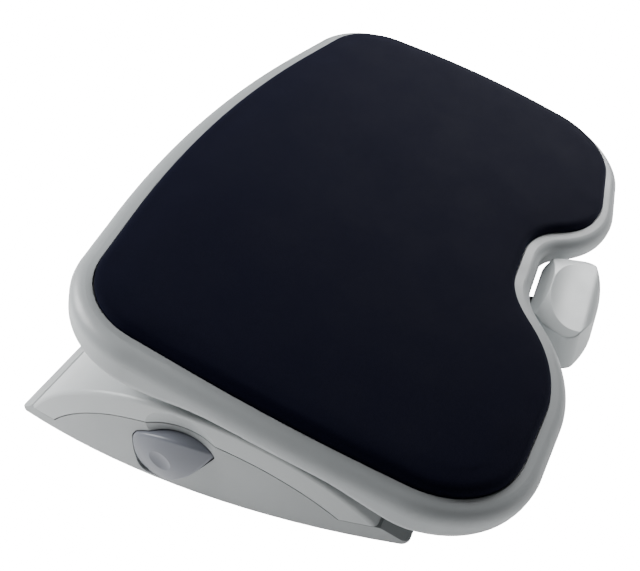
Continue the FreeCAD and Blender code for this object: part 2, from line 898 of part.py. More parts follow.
def height_button(side):
    """Cap of the button: bulged face with a finger dish, hollow behind, with a screw post."""
    inner = button_inner_x()
    outer = side_wall_x() + button_proud
    centre = V(outer - button_face_radius, button_face_y, button_face_z)
    body = button_prism(0, inner, outer + 1).common(Part.makeSphere(button_face_radius, centre))
    body = body.makeFillet(button_round, [edge for edge in body.Edges if edge.BoundBox.XMin > inner + 2])
    room = Part.makeSphere(button_face_radius - button_wall, centre)
    body = body.cut(button_prism(-button_wall, inner - 1, outer + 1).common(room))
    off_middle = math.hypot(dish_centre_y - button_face_y, dish_centre_z - button_face_z)
    face_x = outer - off_middle ** 2 / (2 * button_face_radius)
    reach = dish_radius ** 2 / (2 * dish_depth) + dish_depth / 2
    body = body.cut(Part.makeSphere(reach, V(face_x + reach - dish_depth, dish_centre_y, dish_centre_z)))
    post = rod_x(button_post_radius, inner, outer - button_wall, latch_y, button_screw_z())
    post = post.cut(rod_x(screw_radius, inner - 1, inner + screw_length, latch_y, button_screw_z()))
    body = body.fuse(post).removeSplitter()
    return body if side > 0 else mirror_x(body)


def latch_plate(side):
    """Plate behind the button that carries the latch plunger above it."""
    inner = button_inner_x() - plate_thickness
    corners = [
        (latch_y - plate_top_half, latch_z + plate_above_plunger, plate_corner),
        (latch_y + plate_top_half, latch_z + plate_above_plunger, plate_corner),
        (latch_y + plate_low_half, dish_centre_z - plate_below_dish, plate_corner),
        (latch_y - plate_low_half, dish_centre_z - plate_below_dish, plate_corner),
    ]
    body = side_profile(rounded(corners), inner, inner + plate_thickness)
    body = body.cut(rod_x(screw_hole_radius, inner - 1, inner + 5, latch_y, button_screw_z()))
    body = body.cut(rod_x(plunger_radius - 1, inner - 1, inner + 5, latch_y, latch_z))
    return body if side > 0 else mirror_x(body)


def latch_plunger(side):
    """Steel plunger with its collar, riveted to the latch plate."""
    inner = button_inner_x() - plate_thickness
    rail_inner = guide_wall_x - rail_clearance - rail_thickness
    collar_end = rail_inner - seat_gap
    collar = rod_x(collar_radius, collar_end - collar_length, collar_end, latch_y, latch_z)
    stem = rod_x(plunger_radius, collar_end - 1, inner, latch_y, latch_z)
    spigot_radius = plunger_radius - 1 - running_gap
    spigot = rod_x(spigot_radius, inner - 1, inner + plate_thickness - 0.2, latch_y, latch_z)
    body = fuse_all([collar, stem, spigot])
    return body if side > 0 else mirror_x(body)


def button_screw(side):
    """Screw that holds the latch plate to the button."""
    inner = button_inner_x() - plate_thickness
    z = button_screw_z()
    head = rod_x(screw_head_radius, inner - screw_head_height, inner, latch_y, z)
    shank = rod_x(screw_radius - running_gap, inner - 1, inner + plate_thickness + 3.0, latch_y, z)
    body = head.fuse(shank).removeSplitter()
    return body if side > 0 else mirror_x(body)


# Riser pieces

def channel_tab_y(end):
    """Middle of the channel bracket's front or back tabs."""
    return pivot_y - channel_middle_shift + end * channel_tab_offset


def deck_bosses():
    """Screw bosses under the riser's deck: x, y and the level of their lower ends."""
    places = []
    for side in (-1, 1):
        for end in (-1, 1):
            rail_x = guide_wall_x - rail_clearance - rail_boss_inset
            places.append((side * rail_x, latch_y + end * rail_tab_y, post_top))
            bracket_y = pivot_y + end * (bracket_half_length - bracket_screw_inset)
            places.append((side * pivot_x, bracket_y, bracket_foot_top))
            tab_x = arm_half_width + channel_tab_reach
            places.append((side * tab_x, channel_tab_y(end), bracket_foot_top - channel_tab_drop))
    return places


def riser_cover():
    """Upper shell: crowned deck and side walls cut out round the humps."""
    block = under_crown(0).common(side_slab(0, 0, 90))
    front = front_ledge + seat_gap
    creases = [edge for edge in block.Edges
               if edge.BoundBox.ZMax > crown_height / 2 and edge.BoundBox.YLength > 1]
    block = block.makeFillet(crease_round, creases)
    block = block.cut(box(-far, far, -far, hump_peak_y, -1, front))
    block = block.cut(box(-far, far, -far, far, -1, back_ledge + seat_gap))
    hollow = under_crown(shell_wall).common(side_slab(shell_wall, -5, 95))
    backing = [block.common(scoop(side, scoop_backing)) for side in (-1, 1)]
    body = block.cut(hollow).multiFuse(backing)
    body = body.cut(hump_prism(shell_gap))
    bosses = []
    for x, y, low in deck_bosses():
        bosses.append(rod_z(boss_radius, x, y, low, crown_height))
    inside = under_crown(shell_wall / 2)
    body = body.fuse(Part.makeCompound([boss.common(inside) for boss in bosses])).removeSplitter()
    for x, y, low in deck_bosses():
        body = body.cut(rod_z(screw_radius, x, y, low - 1, low + screw_length))
    for side in (-1, 1):
        half = lug_half_width + bush_flange + seat_gap + cheek_thickness + axle_overhang
        window = box(side * pivot_x - half, side * pivot_x + half,
                     pivot_y - window_half_length, pivot_y + window_half_length,
                     deck_cut_bottom, crown_height + 5)
        body = body.cut(window)
        body = body.cut(scoop(side))
    body = body.cut(rod_x(axle_radius + axle_groove_gap, -pivot_x, pivot_x, pivot_y, pivot_height))
    slot = sector_thickness / 2 + sector_slot_gap
    body = body.cut(box(-slot, slot, pivot_y - sector_outer - sector_slot_reach, pivot_y + sector_outer,
                        deck_cut_bottom, crown_height + 5))
    gate = arm_half_width + gate_gap
    body = body.cut(box(-gate, gate, -far, pedal_pin_y - 8, 0, 60))
    return body


def hinge_bracket(side):
    """Channel bracket that holds the axle: a foot plate and two rounded cheeks."""
    middle = side * pivot_x
    inner = lug_half_width + bush_flange + seat_gap
    outer = inner + cheek_thickness
    foot_low = bracket_foot_top - cheek_thickness
    pieces = [box(middle - bracket_half_width, middle + bracket_half_width,
                  pivot_y - bracket_half_length, pivot_y + bracket_half_length, foot_low, bracket_foot_top)]
    face = lug_profile(bracket_half_length - bracket_cheek_inset, foot_low + 1, cheek_round, pivot_height)
    for end in (-1, 1):
        x0 = middle + (inner if end > 0 else -outer)
        cheek = side_profile(face, x0, x0 + cheek_thickness)
        cheek.translate(V(0, pivot_y, 0))
        pieces.append(cheek)
    body = fuse_all(pieces)
    body = body.cut(rod_x(axle_radius + running_gap, -far, far, pivot_y, pivot_height))
    for x, y, low in deck_bosses():
        if abs(x - middle) < 1:
            body = body.cut(rod_z(screw_hole_radius, x, y, 0, low + 1))
    return body


def axle_reach():
    """Half length of the axle, past both brackets."""
    return pivot_x + lug_half_width + bush_flange + seat_gap + cheek_thickness + axle_overhang


def tilt_axle():
    """Steel axle through both brackets, grooved at its ends."""
    reach = axle_reach()
    rod = rod_x(axle_radius, -reach, reach, pivot_y, pivot_height)
    for side in (-1, 1):
        x = side * (reach - clip_inset)
        half = clip_groove_width / 2
        ring = rod_x(axle_radius + 1, x - half, x + half, pivot_y, pivot_height)
        rod = rod.cut(ring.cut(rod_x(axle_radius - 1, x - 2, x + 2, pivot_y, pivot_height)))
    return rod


def axle_clips():
    """Retaining rings in the axle's end grooves."""
    clips = []
    for side in (-1, 1):
        x = side * (axle_reach() - clip_inset)
        half = clip_thickness / 2
        ring = rod_x(axle_radius + 3, x - half, x + half, pivot_y, pivot_height)
        ring = ring.cut(rod_x(axle_radius - 1 + running_gap, x - 2, x + 2, pivot_y, pivot_height))
        gap = box(x - 2, x + 2, pivot_y - 2, pivot_y + 2, pivot_height - 20, pivot_height)
        clips.append(ring.cut(gap))
    return Part.makeCompound(clips)


def slide_rail(side):
    """Ladder rail and two guide sleeves that run on the base's posts."""
    outer = guide_wall_x - rail_clearance
    inner = outer - rail_thickness
    low = floor_top + rail_floor_gap
    top = post_top - cheek_thickness
    span = post_spacing / 2 - post_size / 2
    pieces = [box(inner, outer, latch_y - span, latch_y + span, low, top + 1)]
    for end in (-1, 1):
        y = latch_y + end * rail_tab_y
        pieces.append(box(outer - rail_tab_reach, outer, y - rail_tab_half, y + rail_tab_half, top, post_top))
    for end in (-1, 1):
        y = latch_y + end * post_spacing / 2
        half = post_size / 2 + slide_gap
        shell = box(guide_wall_x - post_size - slide_gap - sleeve_wall, outer,
                    y - half - sleeve_wall, y + half + sleeve_wall, low, top + 1)
        room = box(guide_wall_x - post_size - slide_gap, guide_wall_x + 5,
                   y - half, y + half, low - 1, top + 10)
        pieces.append(shell.cut(room))
    body = fuse_all(pieces)
    slot_half = plunger_radius + slide_gap
    low_z = latch_z - height_travel
    slot = box(inner - 1, outer + 1, latch_y - slot_half, latch_y + slot_half, low_z, latch_z)
    cuts = [slot]
    steps = int(height_travel / height_step + 0.5)
    for i in range(steps + 1):
        z = low_z + i * height_step
        cuts.append(rod_x(slot_half, inner - 1, outer + 1, latch_y, z))
        cuts.append(rod_x(collar_radius + slide_gap, inner - 1, inner + rail_thickness / 2, latch_y, z))
    body = body.cut(fuse_all(cuts))
    for x, y, level in deck_bosses():
        if x > outer - rail_tab_reach:
            body = body.cut(rod_z(screw_hole_radius, x, y, top - 2, level + 1))
    for end in (-1, 1):
        y = latch_y + end * post_spacing / 2
        half = post_size / 2 + slide_gap
        body = body.cut(box(guide_wall_x - post_size - slide_gap, guide_wall_x + 5,
                            y - half, y + half, 0, post_top + height_travel))
    return body if side > 0 else mirror_x(body)


def riser_screws():
    """Screws up into the riser's bosses."""
    pieces = []
    for x, y, low in deck_bosses():
        pieces += screws([(x, y)], low - cheek_thickness)
    return Part.makeCompound(pieces)


def pedal_bracket():
    """Channel under the deck that carries the pedal pin, the lever pin and the spring."""
    inner = arm_half_width + bracket_cheek_gap
    outer = inner + cheek_thickness
    front = riser_front_y() + channel_front_inset
    back = pivot_y + channel_back_reach
    tab_top = bracket_foot_top - channel_tab_drop
    cheeks = []
    for side in (-1, 1):
        x0 = inner if side > 0 else -outer
        cheeks.append(box(x0, x0 + cheek_thickness, front, back, channel_bottom, tab_top))
        tab_x0 = inner if side > 0 else -outer - channel_tab_reach
        for end in (-1, 1):
            y = channel_tab_y(end)
            cheeks.append(box(tab_x0, tab_x0 + cheek_thickness + channel_tab_reach, y - channel_tab_half,
                              y + channel_tab_half, tab_top - cheek_thickness, tab_top))
    cheeks.append(box(-outer, outer, pivot_y - channel_middle_shift, back, channel_bottom,
                      channel_bottom + channel_floor))
    body = fuse_all(cheeks)
    body = body.common(under_crown(shell_wall + seat_gap))
    body = body.cut(rod_x(pedal_pin_radius + running_gap, -far, far, pedal_pin_y, pedal_pin_z))
    body = body.cut(rod_x(lever_pin_radius + running_gap, -far, far, lever_pin_y, lever_pin_z))
    body = body.cut(rod_x(channel_hole_radius, -far, far, pivot_y + channel_middle_shift,
                          channel_bottom + channel_hole_height))
    for x, y, low in deck_bosses():
        if abs(x) < pivot_x / 2:
            body = body.cut(rod_z(screw_hole_radius, x, y, 0, low + 1))
    seat = rod_z(brake_spring_radius - 2 * wire_radius - spring_seat_gap, 0, pivot_y, channel_bottom,
                 channel_bottom + spring_seat_height)
    return body.fuse(seat).removeSplitter()


def headed_pin(radius, half_length, y, z):
    """Pin with a flat head at one end."""
    rod = rod_x(radius, -half_length, half_length, y, z)
    head = rod_x(radius + pin_head, half_length - pin_head, half_length, y, z)
    return rod.fuse(head).removeSplitter()


def pedal_pin():
    """Pin that the pedal arm swings on."""
    return headed_pin(pedal_pin_radius, arm_half_width + bracket_cheek_gap + cheek_thickness + pin_overhang,
                      pedal_pin_y, pedal_pin_z)


def lever_pin():
    """Pin that the brake lever swings on."""
    return headed_pin(lever_pin_radius, arm_half_width + bracket_cheek_gap + cheek_thickness + pin_overhang,
                      lever_pin_y, lever_pin_z)


# Brake lever

def shoe_face_radius():
    """Radius of the shoe's hollow face about the tilt pivot."""
    return sector_outer + seat_gap


def brake_shoe():
    """Friction block hollowed to the sector's rim."""
    top = pivot_height - sector_outer - seat_gap
    low = top - shoe_thickness
    block = box(-shoe_half_width, shoe_half_width, pivot_y - shoe_half_length, pivot_y + shoe_half_length,
                low, top + 3)
    return block.cut(rod_x(shoe_face_radius(), -far, far, pivot_y, pivot_height))


def brake_lever():
    """Rocking lever between the pedal's tail and the shoe."""
    top = pivot_height - sector_outer - seat_gap - shoe_thickness
    low = top - lever_thickness
    back = pivot_y + shoe_half_length + lever_back_reach
    front = lever_pin_y - lever_front_reach
    corners = [
        (front, low + lever_thickness / 2, lever_end_round),
        (front, top, lever_end_round),
        (back, top, lever_end_round),
        (back, low, lever_end_round),
        (front + lever_nose_length, low, lever_end_round),
    ]
    body = side_profile(rounded(corners), -lever_half_width, lever_half_width)
    hub = rod_x(lever_pin_radius + hub_wall, -arm_half_width, arm_half_width, lever_pin_y, lever_pin_z)
    body = body.fuse(hub).removeSplitter()
    return body.cut(rod_x(lever_pin_radius + running_gap, -far, far, lever_pin_y, lever_pin_z))


# Springs

def biarc(start, start_way, end, end_way):
    """Two tangent arcs from one point and direction to another."""
    span = end - start
    a = 2 * (1 - start_way.dot(end_way))
    b = 2 * span.dot(start_way + end_way)
    c = -span.dot(span)
    reach = (-b + math.sqrt(b * b - 4 * a * c)) / (2 * a)
    joint = (start + end + (start_way - end_way) * reach) * 0.5
    edges = []
    for first, tip, last in ((start, start + start_way * reach, joint), (joint, end - end_way * reach, end)):
        middle = (first + last) * 0.5
        height = tip - middle
        half = (first - middle).Length
        turn = 2 * math.atan2(height.Length, half)
        height.normalize()
        edges.append(Part.Arc(first, middle + height * (half * math.tan(turn / 4)), last).toShape())
    return edges


def coil_spring(radius, turns, length):
    """Coil spring wound up +Z from z = 0, one unbroken wire with half a closed turn at each end."""
    rise = length - 2 * wire_radius
    quarters = turns * 4
    flat = 2
    pitch = rise / (quarters - flat)

    def height(i):
        climbed = min(max(i - flat / 2, 0), quarters - flat)
        return wire_radius + climbed * pitch

    def point(i):
        angle = i * math.pi / 2
        return V(radius * math.cos(angle), radius * math.sin(angle), height(i))

    def way(i):
        angle = i * math.pi / 2
        climb = (height(i + 1) - height(i - 1)) / 2
        along = radius * math.pi / 2
        direction = V(-math.sin(angle) * along, math.cos(angle) * along, climb)
        direction.normalize()
        return direction

    edges = []
    for i in range(quarters):
        edges += biarc(point(i), way(i), point(i + 1), way(i + 1))
    path = Part.Wire(edges)
    section = Part.Wire([Part.makeCircle(wire_radius, point(0), way(0))])
    spring = path.makePipeShell([section], True, False)
    print("spring", "radius", radius, "least gap", round(4 * pitch - 2 * wire_radius, 2))
    return spring


def button_spring(side):
    """Spring between the guide frame's latch wall and the latch plate, as long as when pressed."""
    outer = guide_wall_x + guide_wall_thickness
    inner = button_inner_x() - plate_thickness
    length = inner - outer - 2 * seat_gap - button_travel
    spring = coil_spring(button_spring_radius, button_spring_turns, length)
    spring.rotate(V(0, 0, 0), V(0, 1, 0), 90)
    spring.translate(V(outer + seat_gap, latch_y, latch_z))
    return spring if side > 0 else mirror_x(spring)


def brake_spring():
    """Spring under the brake lever that presses the shoe up."""
    bottom = channel_bottom + channel_floor + seat_gap
    top = pivot_height - sector_outer - seat_gap - shoe_thickness - lever_thickness
    spring = coil_spring(brake_spring_radius, brake_spring_turns, top - seat_gap - bottom)
    spring.translate(V(0, pivot_y, bottom))
    return spring


# Pedal

def pedal_outline(inset):
    """Plan of the pedal: a D with a bowed front, drawn inset inside its edge."""
    corners = [
        (pedal_back_half, pedal_back_y, pedal_back_round),
        (pedal_ridge_half, pedal_ridge_y - pedal_ridge_sweep, pedal_ridge_round),
        (pedal_half_width, pedal_front_y + pedal_front_sweep, pedal_corner_round),
        (pedal_front_half, pedal_front_y, pedal_bow_radius),
    ]
    corners = corners + [(-x, y, radius) for x, y, radius in reversed(corners)]
    return rounded(moved_out(corners, [-inset] * len(corners)))


def pedal_side(inset):
    """Side outline of the pedal: back slope, ridge, scooped face and rolled front."""
    top = pedal_top - inset
    ridge = V(pedal_ridge_y, top, 0)
    back_top = V(pedal_back_y - inset, top - pedal_back_drop, 0)
    back_low = V(pedal_back_y - inset, pedal_bottom - 1, 0)
    face_front = V(pedal_front_y + pedal_nose_length, top - pedal_front_drop, 0)
    nose_y = pedal_front_y + pedal_nose_bulge + inset * pedal_nose_slant
    nose = V(nose_y, top - pedal_front_drop - pedal_nose_fall, 0)
    front = V(pedal_front_y + inset, top - pedal_nose_drop, 0)
    front_low = V(pedal_front_y + inset, pedal_bottom - 1, 0)
    scoop_low = (ridge + face_front) * 0.5 - V(0, pedal_scoop, 0)
    wire = Part.Wire([
        Part.makeLine(back_low, back_top),
        Part.makeLine(back_top, ridge),
        Part.Arc(ridge, scoop_low, face_front).toShape(),
        Part.Arc(face_front, nose, front).toShape(),
        Part.makeLine(front, front_low),
        Part.makeLine(front_low, back_low),
    ])
    return Part.Face(wire)


def pedal_block(inset, bottom):
    """Solid of the pedal's outside, or of one inset inside it."""
    half = pedal_half_width + 5
    block = side_profile(pedal_side(inset), -half, half)
    block = block.common(prism(pedal_outline(inset), bottom, pedal_top + 10))
    radius = pedal_crown_radius - inset
    crown = Part.makeCylinder(radius, 200, V(0, 0, pedal_top - pedal_crown_radius), V(0, -1, 0))
    crown.translate(V(0, pedal_back_y + 50, 0))
    return block.common(crown)


def pedal_rim(block):
    """Edges round the pedal's face and along its ridge, without the crown's lines on the scooped face."""
    rim = []
    for edge in block.Edges:
        space = edge.BoundBox
        straight = space.XLength > 20 and space.YLength < 0.05
        crown = min(abs(space.XMin), abs(space.XMax)) < 0.01 and space.YMin < pedal_ridge_y - 5
        if space.ZMin > pedal_top - pedal_nose_drop - 1 and not straight and not crown:
            rim.append(edge)
    return rim


def pedal():
    """Pedal shell: crowned ridge and scooped face over a skirt, with two screw posts inside."""
    body = pedal_block(0, pedal_bottom)
    body = body.makeFillet(pedal_round, pedal_rim(body))
    body = body.cut(pedal_block(pedal_wall, pedal_bottom - 2))
    posts = []
    for side in (-1, 1):
        post = rod_z(pedal_post_radius, side * pedal_screw_x, pedal_screw_y(), arm_pad_top(), pedal_top)
        posts.append(post.common(pedal_block(pedal_wall / 2, pedal_bottom)))
    body = body.fuse(Part.makeCompound(posts)).removeSplitter()
    for side in (-1, 1):
        body = body.cut(rod_z(screw_radius, side * pedal_screw_x, pedal_screw_y(), arm_pad_top() - 1,
                              arm_pad_top() + screw_length))
    gate = arm_half_width + pedal_gate_gap
    gate_top = pedal_bottom + pedal_gate_height
    return body.cut(box(-gate, gate, pedal_back_y - 8, pedal_back_y + 10, 0, gate_top))


def pedal_screw_y():
    """Where the screws join the pedal to its arm."""
    return (pedal_back_y + pedal_front_y) / 2 + pedal_screw_back


def arm_pad_top():
    """Level of the arm's pad under the pedal's posts."""
    return pedal_bottom + pedal_post_height


def pedal_arm():
    """Arm from the pedal back to its pin, with a short tail behind the pin."""
    tail = pedal_pin_y + arm_tail_reach
    lever_low = pivot_height - sector_outer - seat_gap - shoe_thickness - lever_thickness / 2
    pad_top = arm_pad_top()
    pad_low = pad_top - arm_thickness
    corners = [
        (tail, lever_low - seat_gap, 1.5),
        (tail, channel_bottom + 3.0, 1.5),
        (pedal_pin_y + 6, channel_bottom + 2.0, 3.0),
        (riser_front_y() - 4, channel_bottom + 3.0, 20.0),
        (pedal_back_y + 4, pad_low, 20.0),
        (pedal_screw_y() - 8, pad_low, 2.0),
        (pedal_screw_y() - 8, pad_top, 2.0),
        (pedal_back_y + 2, pad_top, 16.0),
        (riser_front_y() - 2, channel_bottom + 3.0 + arm_thickness + 2, 20.0),
    ]
    body = side_profile(rounded(corners), -arm_half_width, arm_half_width)
    hub = rod_x(pedal_pin_radius + hub_wall, -arm_half_width, arm_half_width, pedal_pin_y, pedal_pin_z)
    body = body.fuse(hub).removeSplitter()
    body = body.cut(rod_x(pedal_pin_radius + running_gap, -far, far, pedal_pin_y, pedal_pin_z))
    for side in (-1, 1):
        body = body.cut(rod_z(screw_hole_radius, side * pedal_screw_x, pedal_screw_y(), 0, 80))
    return body


def pedal_screws():
    """Screws up through the arm into the pedal's posts."""
    places = [(side * pedal_screw_x, pedal_screw_y()) for side in (-1, 1)]
    return Part.makeCompound(screws(places, arm_pad_top() - arm_thickness))


# All pieces by node name

pieces = {
    "platform_frame": platform_frame(),
    "foam_pad": foam_pad(),
    "axle_bushes": axle_bushes(),
    "ear_screws": ear_screws(),
    "brake_sector": brake_sector(),
    "base_tray": base_tray(),
    "rubber_feet": rubber_feet(),
    "guide_screws": guide_screws(),
    "riser_cover": riser_cover(),
    "tilt_axle": tilt_axle(),
    "axle_clips": axle_clips(),
    "riser_screws": riser_screws(),
    "pedal_bracket": pedal_bracket(),
    "pedal_pin": pedal_pin(),
    "lever_pin": lever_pin(),
    "brake_shoe": brake_shoe(),
    "brake_lever": brake_lever(),
    "brake_spring": brake_spring(),
    "pedal": pedal(),
    "pedal_arm": pedal_arm(),
    "pedal_screws": pedal_screws(),
}
for name, side in (("left", -1), ("right", 1)):
    pieces["pivot_ear_" + name] = pivot_ear(side)
    pieces["hinge_bracket_" + name] = hinge_bracket(side)
    pieces["slide_rail_" + name] = slide_rail(side)
    pieces["guide_frame_" + name] = guide_frame(side)
    pieces["height_button_" + name] = height_button(side)
    pieces["latch_plate_" + name] = latch_plate(side)
    pieces["latch_plunger_" + name] = latch_plunger(side)
    pieces["button_screw_" + name] = button_screw(side)
    pieces["button_spring_" + name] = button_spring(side)

for node, shape in pieces.items():
    print(node, "solids", len(shape.Solids), "valid", shape.isValid(), "cm3", round(shape.Volume / 1000, 1))
    shape.exportStep("parts/" + node + ".step")
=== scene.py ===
import json
import logging
import math
from dataclasses import dataclass, field
from enum import Enum
from typing import Callable

import bmesh
import bpy
import numpy as np
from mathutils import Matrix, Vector


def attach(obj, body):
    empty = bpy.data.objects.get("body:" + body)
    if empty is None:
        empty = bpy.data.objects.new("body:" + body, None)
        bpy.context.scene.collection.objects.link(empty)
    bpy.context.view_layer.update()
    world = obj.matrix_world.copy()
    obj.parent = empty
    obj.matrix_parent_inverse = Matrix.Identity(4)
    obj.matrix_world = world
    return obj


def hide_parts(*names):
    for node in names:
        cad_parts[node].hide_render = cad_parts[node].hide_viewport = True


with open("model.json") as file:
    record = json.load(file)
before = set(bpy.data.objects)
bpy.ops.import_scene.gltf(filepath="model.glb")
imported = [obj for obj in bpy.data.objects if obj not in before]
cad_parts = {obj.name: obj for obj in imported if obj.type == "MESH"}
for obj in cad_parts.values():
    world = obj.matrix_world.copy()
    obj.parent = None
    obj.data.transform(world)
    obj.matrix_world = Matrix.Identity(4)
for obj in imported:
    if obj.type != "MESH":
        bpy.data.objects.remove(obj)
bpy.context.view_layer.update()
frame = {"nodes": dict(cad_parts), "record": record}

# Tilting under desk footrest, dressed for its render. Metres, +Z up, +Y away from the user.

logging.basicConfig(level=logging.INFO, format="%(message)s")
log = logging.getLogger("footrest")

Point = tuple[float, float]
MM = 0.001
WHITE = (1.0, 1.0, 1.0, 1.0)


class Slot(Enum):
    """Material slots of the record."""

    FRAME = "frame_plastic"
    RISER = "riser_plastic"
    BASE = "base_plastic"
    PEDAL = "pedal_plastic"
    BUTTON = "button_plastic"
    PAD = "pad_fabric"
    INNER = "inner_plastic"
    BUSH = "bush_plastic"
    RUBBER = "rubber"
    STEEL = "steel"
    PLATED = "plated_steel"
    SCREW = "screw_steel"


# Shared shader effects

def new_group(name: str, inputs: dict[str, tuple[str, object]],
              outputs: dict[str, str]) -> bpy.types.NodeTree:
    """Makes an empty node group with named sockets.

    Args:
        name: name of the group.
        inputs: socket name to its type and starting value.
        outputs: socket name to its type.

    Returns:
        The new group, with its input and output nodes in place.
    """
    group = bpy.data.node_groups.new(name, "ShaderNodeTree")
    for label, (kind, value) in inputs.items():
        socket = group.interface.new_socket(label, in_out="INPUT", socket_type=kind)
        if value is not None:
            socket.default_value = value
    for label, kind in outputs.items():
        group.interface.new_socket(label, in_out="OUTPUT", socket_type=kind)
    group.nodes.new("NodeGroupInput").name = "in"
    group.nodes.new("NodeGroupOutput").name = "out"
    return group


class Wiring:
    """Short hand for building and joining the nodes of one tree."""

    def __init__(self, tree: bpy.types.NodeTree) -> None:
        """Keeps the tree that the nodes go into.

        Args:
            tree: the tree.
        """
        self.tree = tree

    def node(self, kind: str, **values: object) -> bpy.types.Node:
        """Adds a node.

        Args:
            kind: Blender's name of the node type.
            values: attributes of the node to set.

        Returns:
            The new node.
        """
        made = self.tree.nodes.new(kind)
        for key, value in values.items():
            setattr(made, key, value)
        return made

    def join(self, source: bpy.types.NodeSocket, target: bpy.types.NodeSocket) -> None:
        """Links two sockets.

        Args:
            source: output that gives the value.
            target: input that takes it.
        """
        self.tree.links.new(source, target)

    def noise(self, place: bpy.types.NodeSocket, scale: float, detail: float = 2.0,
              roughness: float = 0.5) -> bpy.types.NodeSocket:
        """Adds a noise texture.

        Args:
            place: socket that gives the coordinates.
            scale: size of the noise, per metre.
            detail: number of finer octaves.
            roughness: strength of the finer octaves.

        Returns:
            The noise's value socket, about 0 to 1.
        """
        made = self.node("ShaderNodeTexNoise")
        made.inputs["Scale"].default_value = scale
        made.inputs["Detail"].default_value = detail
        made.inputs["Roughness"].default_value = roughness
        self.join(place, made.inputs["Vector"])
        return made.outputs["Fac"]

    def math(self, kind: str, a: object, b: object = 0.0, clamp: bool = False) -> bpy.types.NodeSocket:
        """Adds a math node.

        Args:
            kind: the operation.
            a: a socket or a number.
            b: a socket or a number.
            clamp: keep the result from 0 to 1.

        Returns:
            The result's socket.
        """
        made = self.node("ShaderNodeMath", operation=kind, use_clamp=clamp)
        for socket, value in zip(made.inputs, (a, b)):
            if isinstance(value, bpy.types.NodeSocket):
                self.join(value, socket)
            else:
                socket.default_value = value
        return made.outputs[0]

    def remap(self, value: bpy.types.NodeSocket, low: float, high: float, to_low: object,
              to_high: object) -> bpy.types.NodeSocket:
        """Maps a value from one range to another, smoothly.

        Args:
            value: the value's socket.
            low: start of the range it comes from.
            high: end of the range it comes from.
            to_low: a socket or number for the start of the new range.
            to_high: a socket or number for the end of the new range.

        Returns:
            The new value's socket.
        """
        made = self.node("ShaderNodeMapRange", interpolation_type="SMOOTHSTEP")
        self.join(value, made.inputs["Value"])
        made.inputs["From Min"].default_value = low
        made.inputs["From Max"].default_value = high
        for label, new in (("To Min", to_low), ("To Max", to_high)):
            if isinstance(new, bpy.types.NodeSocket):
                self.join(new, made.inputs[label])
            else:
                made.inputs[label].default_value = new
        return made.outputs["Result"]

    def shade(self, colour: bpy.types.NodeSocket, amount: bpy.types.NodeSocket) -> bpy.types.NodeSocket:
        """Makes a colour lighter or darker.

        Args:
            colour: the colour's socket.
            amount: factor of brightness, 1 for no change.

        Returns:
            The new colour's socket.
        """
        made = self.node("ShaderNodeVectorMath", operation="SCALE")
        self.join(colour, made.inputs[0])
        self.join(amount, made.inputs["Scale"])
        return made.outputs[0]


def moulded_skin_group() -> bpy.types.NodeTree:
    """Effect of a satin moulded plastic skin: faint flow mottling, fine spark grain and rubbed spots.

    Returns:
        The effect's group.
    """
    group = new_group(
        "moulded_skin",
        {
            "Colour": ("NodeSocketColor", (0.5, 0.5, 0.5, 1.0)),
            "Mottle": ("NodeSocketFloat", 0.03),
            "Roughness": ("NodeSocketFloat", 0.45),
            "Grain": ("NodeSocketFloat", 1.0),
        },
        {"Colour": "NodeSocketColor", "Roughness": "NodeSocketFloat", "Height": "NodeSocketFloat"},
    )
    w = Wiring(group)
    given, out = group.nodes["in"], group.nodes["out"]
    place = w.node("ShaderNodeTexCoord").outputs["Object"]
    flow = w.noise(place, 14.0, 3.0)
    fine = w.noise(place, 2600.0, 1.0)
    dust = w.noise(place, 420.0, 3.0, 0.7)
    spread = w.math("MULTIPLY", w.math("SUBTRACT", flow, 0.5), given.outputs["Mottle"])
    speck = w.math("MULTIPLY", w.math("SUBTRACT", dust, 0.5), 0.05)
    light = w.math("ADD", w.math("ADD", spread, speck), 1.0)
    w.join(w.shade(given.outputs["Colour"], light), out.inputs["Colour"])
    rub = w.remap(w.noise(place, 33.0, 4.0, 0.6), 0.35, 0.7, -0.04, 0.05)
    w.join(w.math("ADD", given.outputs["Roughness"], rub, clamp=True), out.inputs["Roughness"])
    w.join(w.math("MULTIPLY", fine, given.outputs["Grain"]), out.inputs["Height"])
    return group


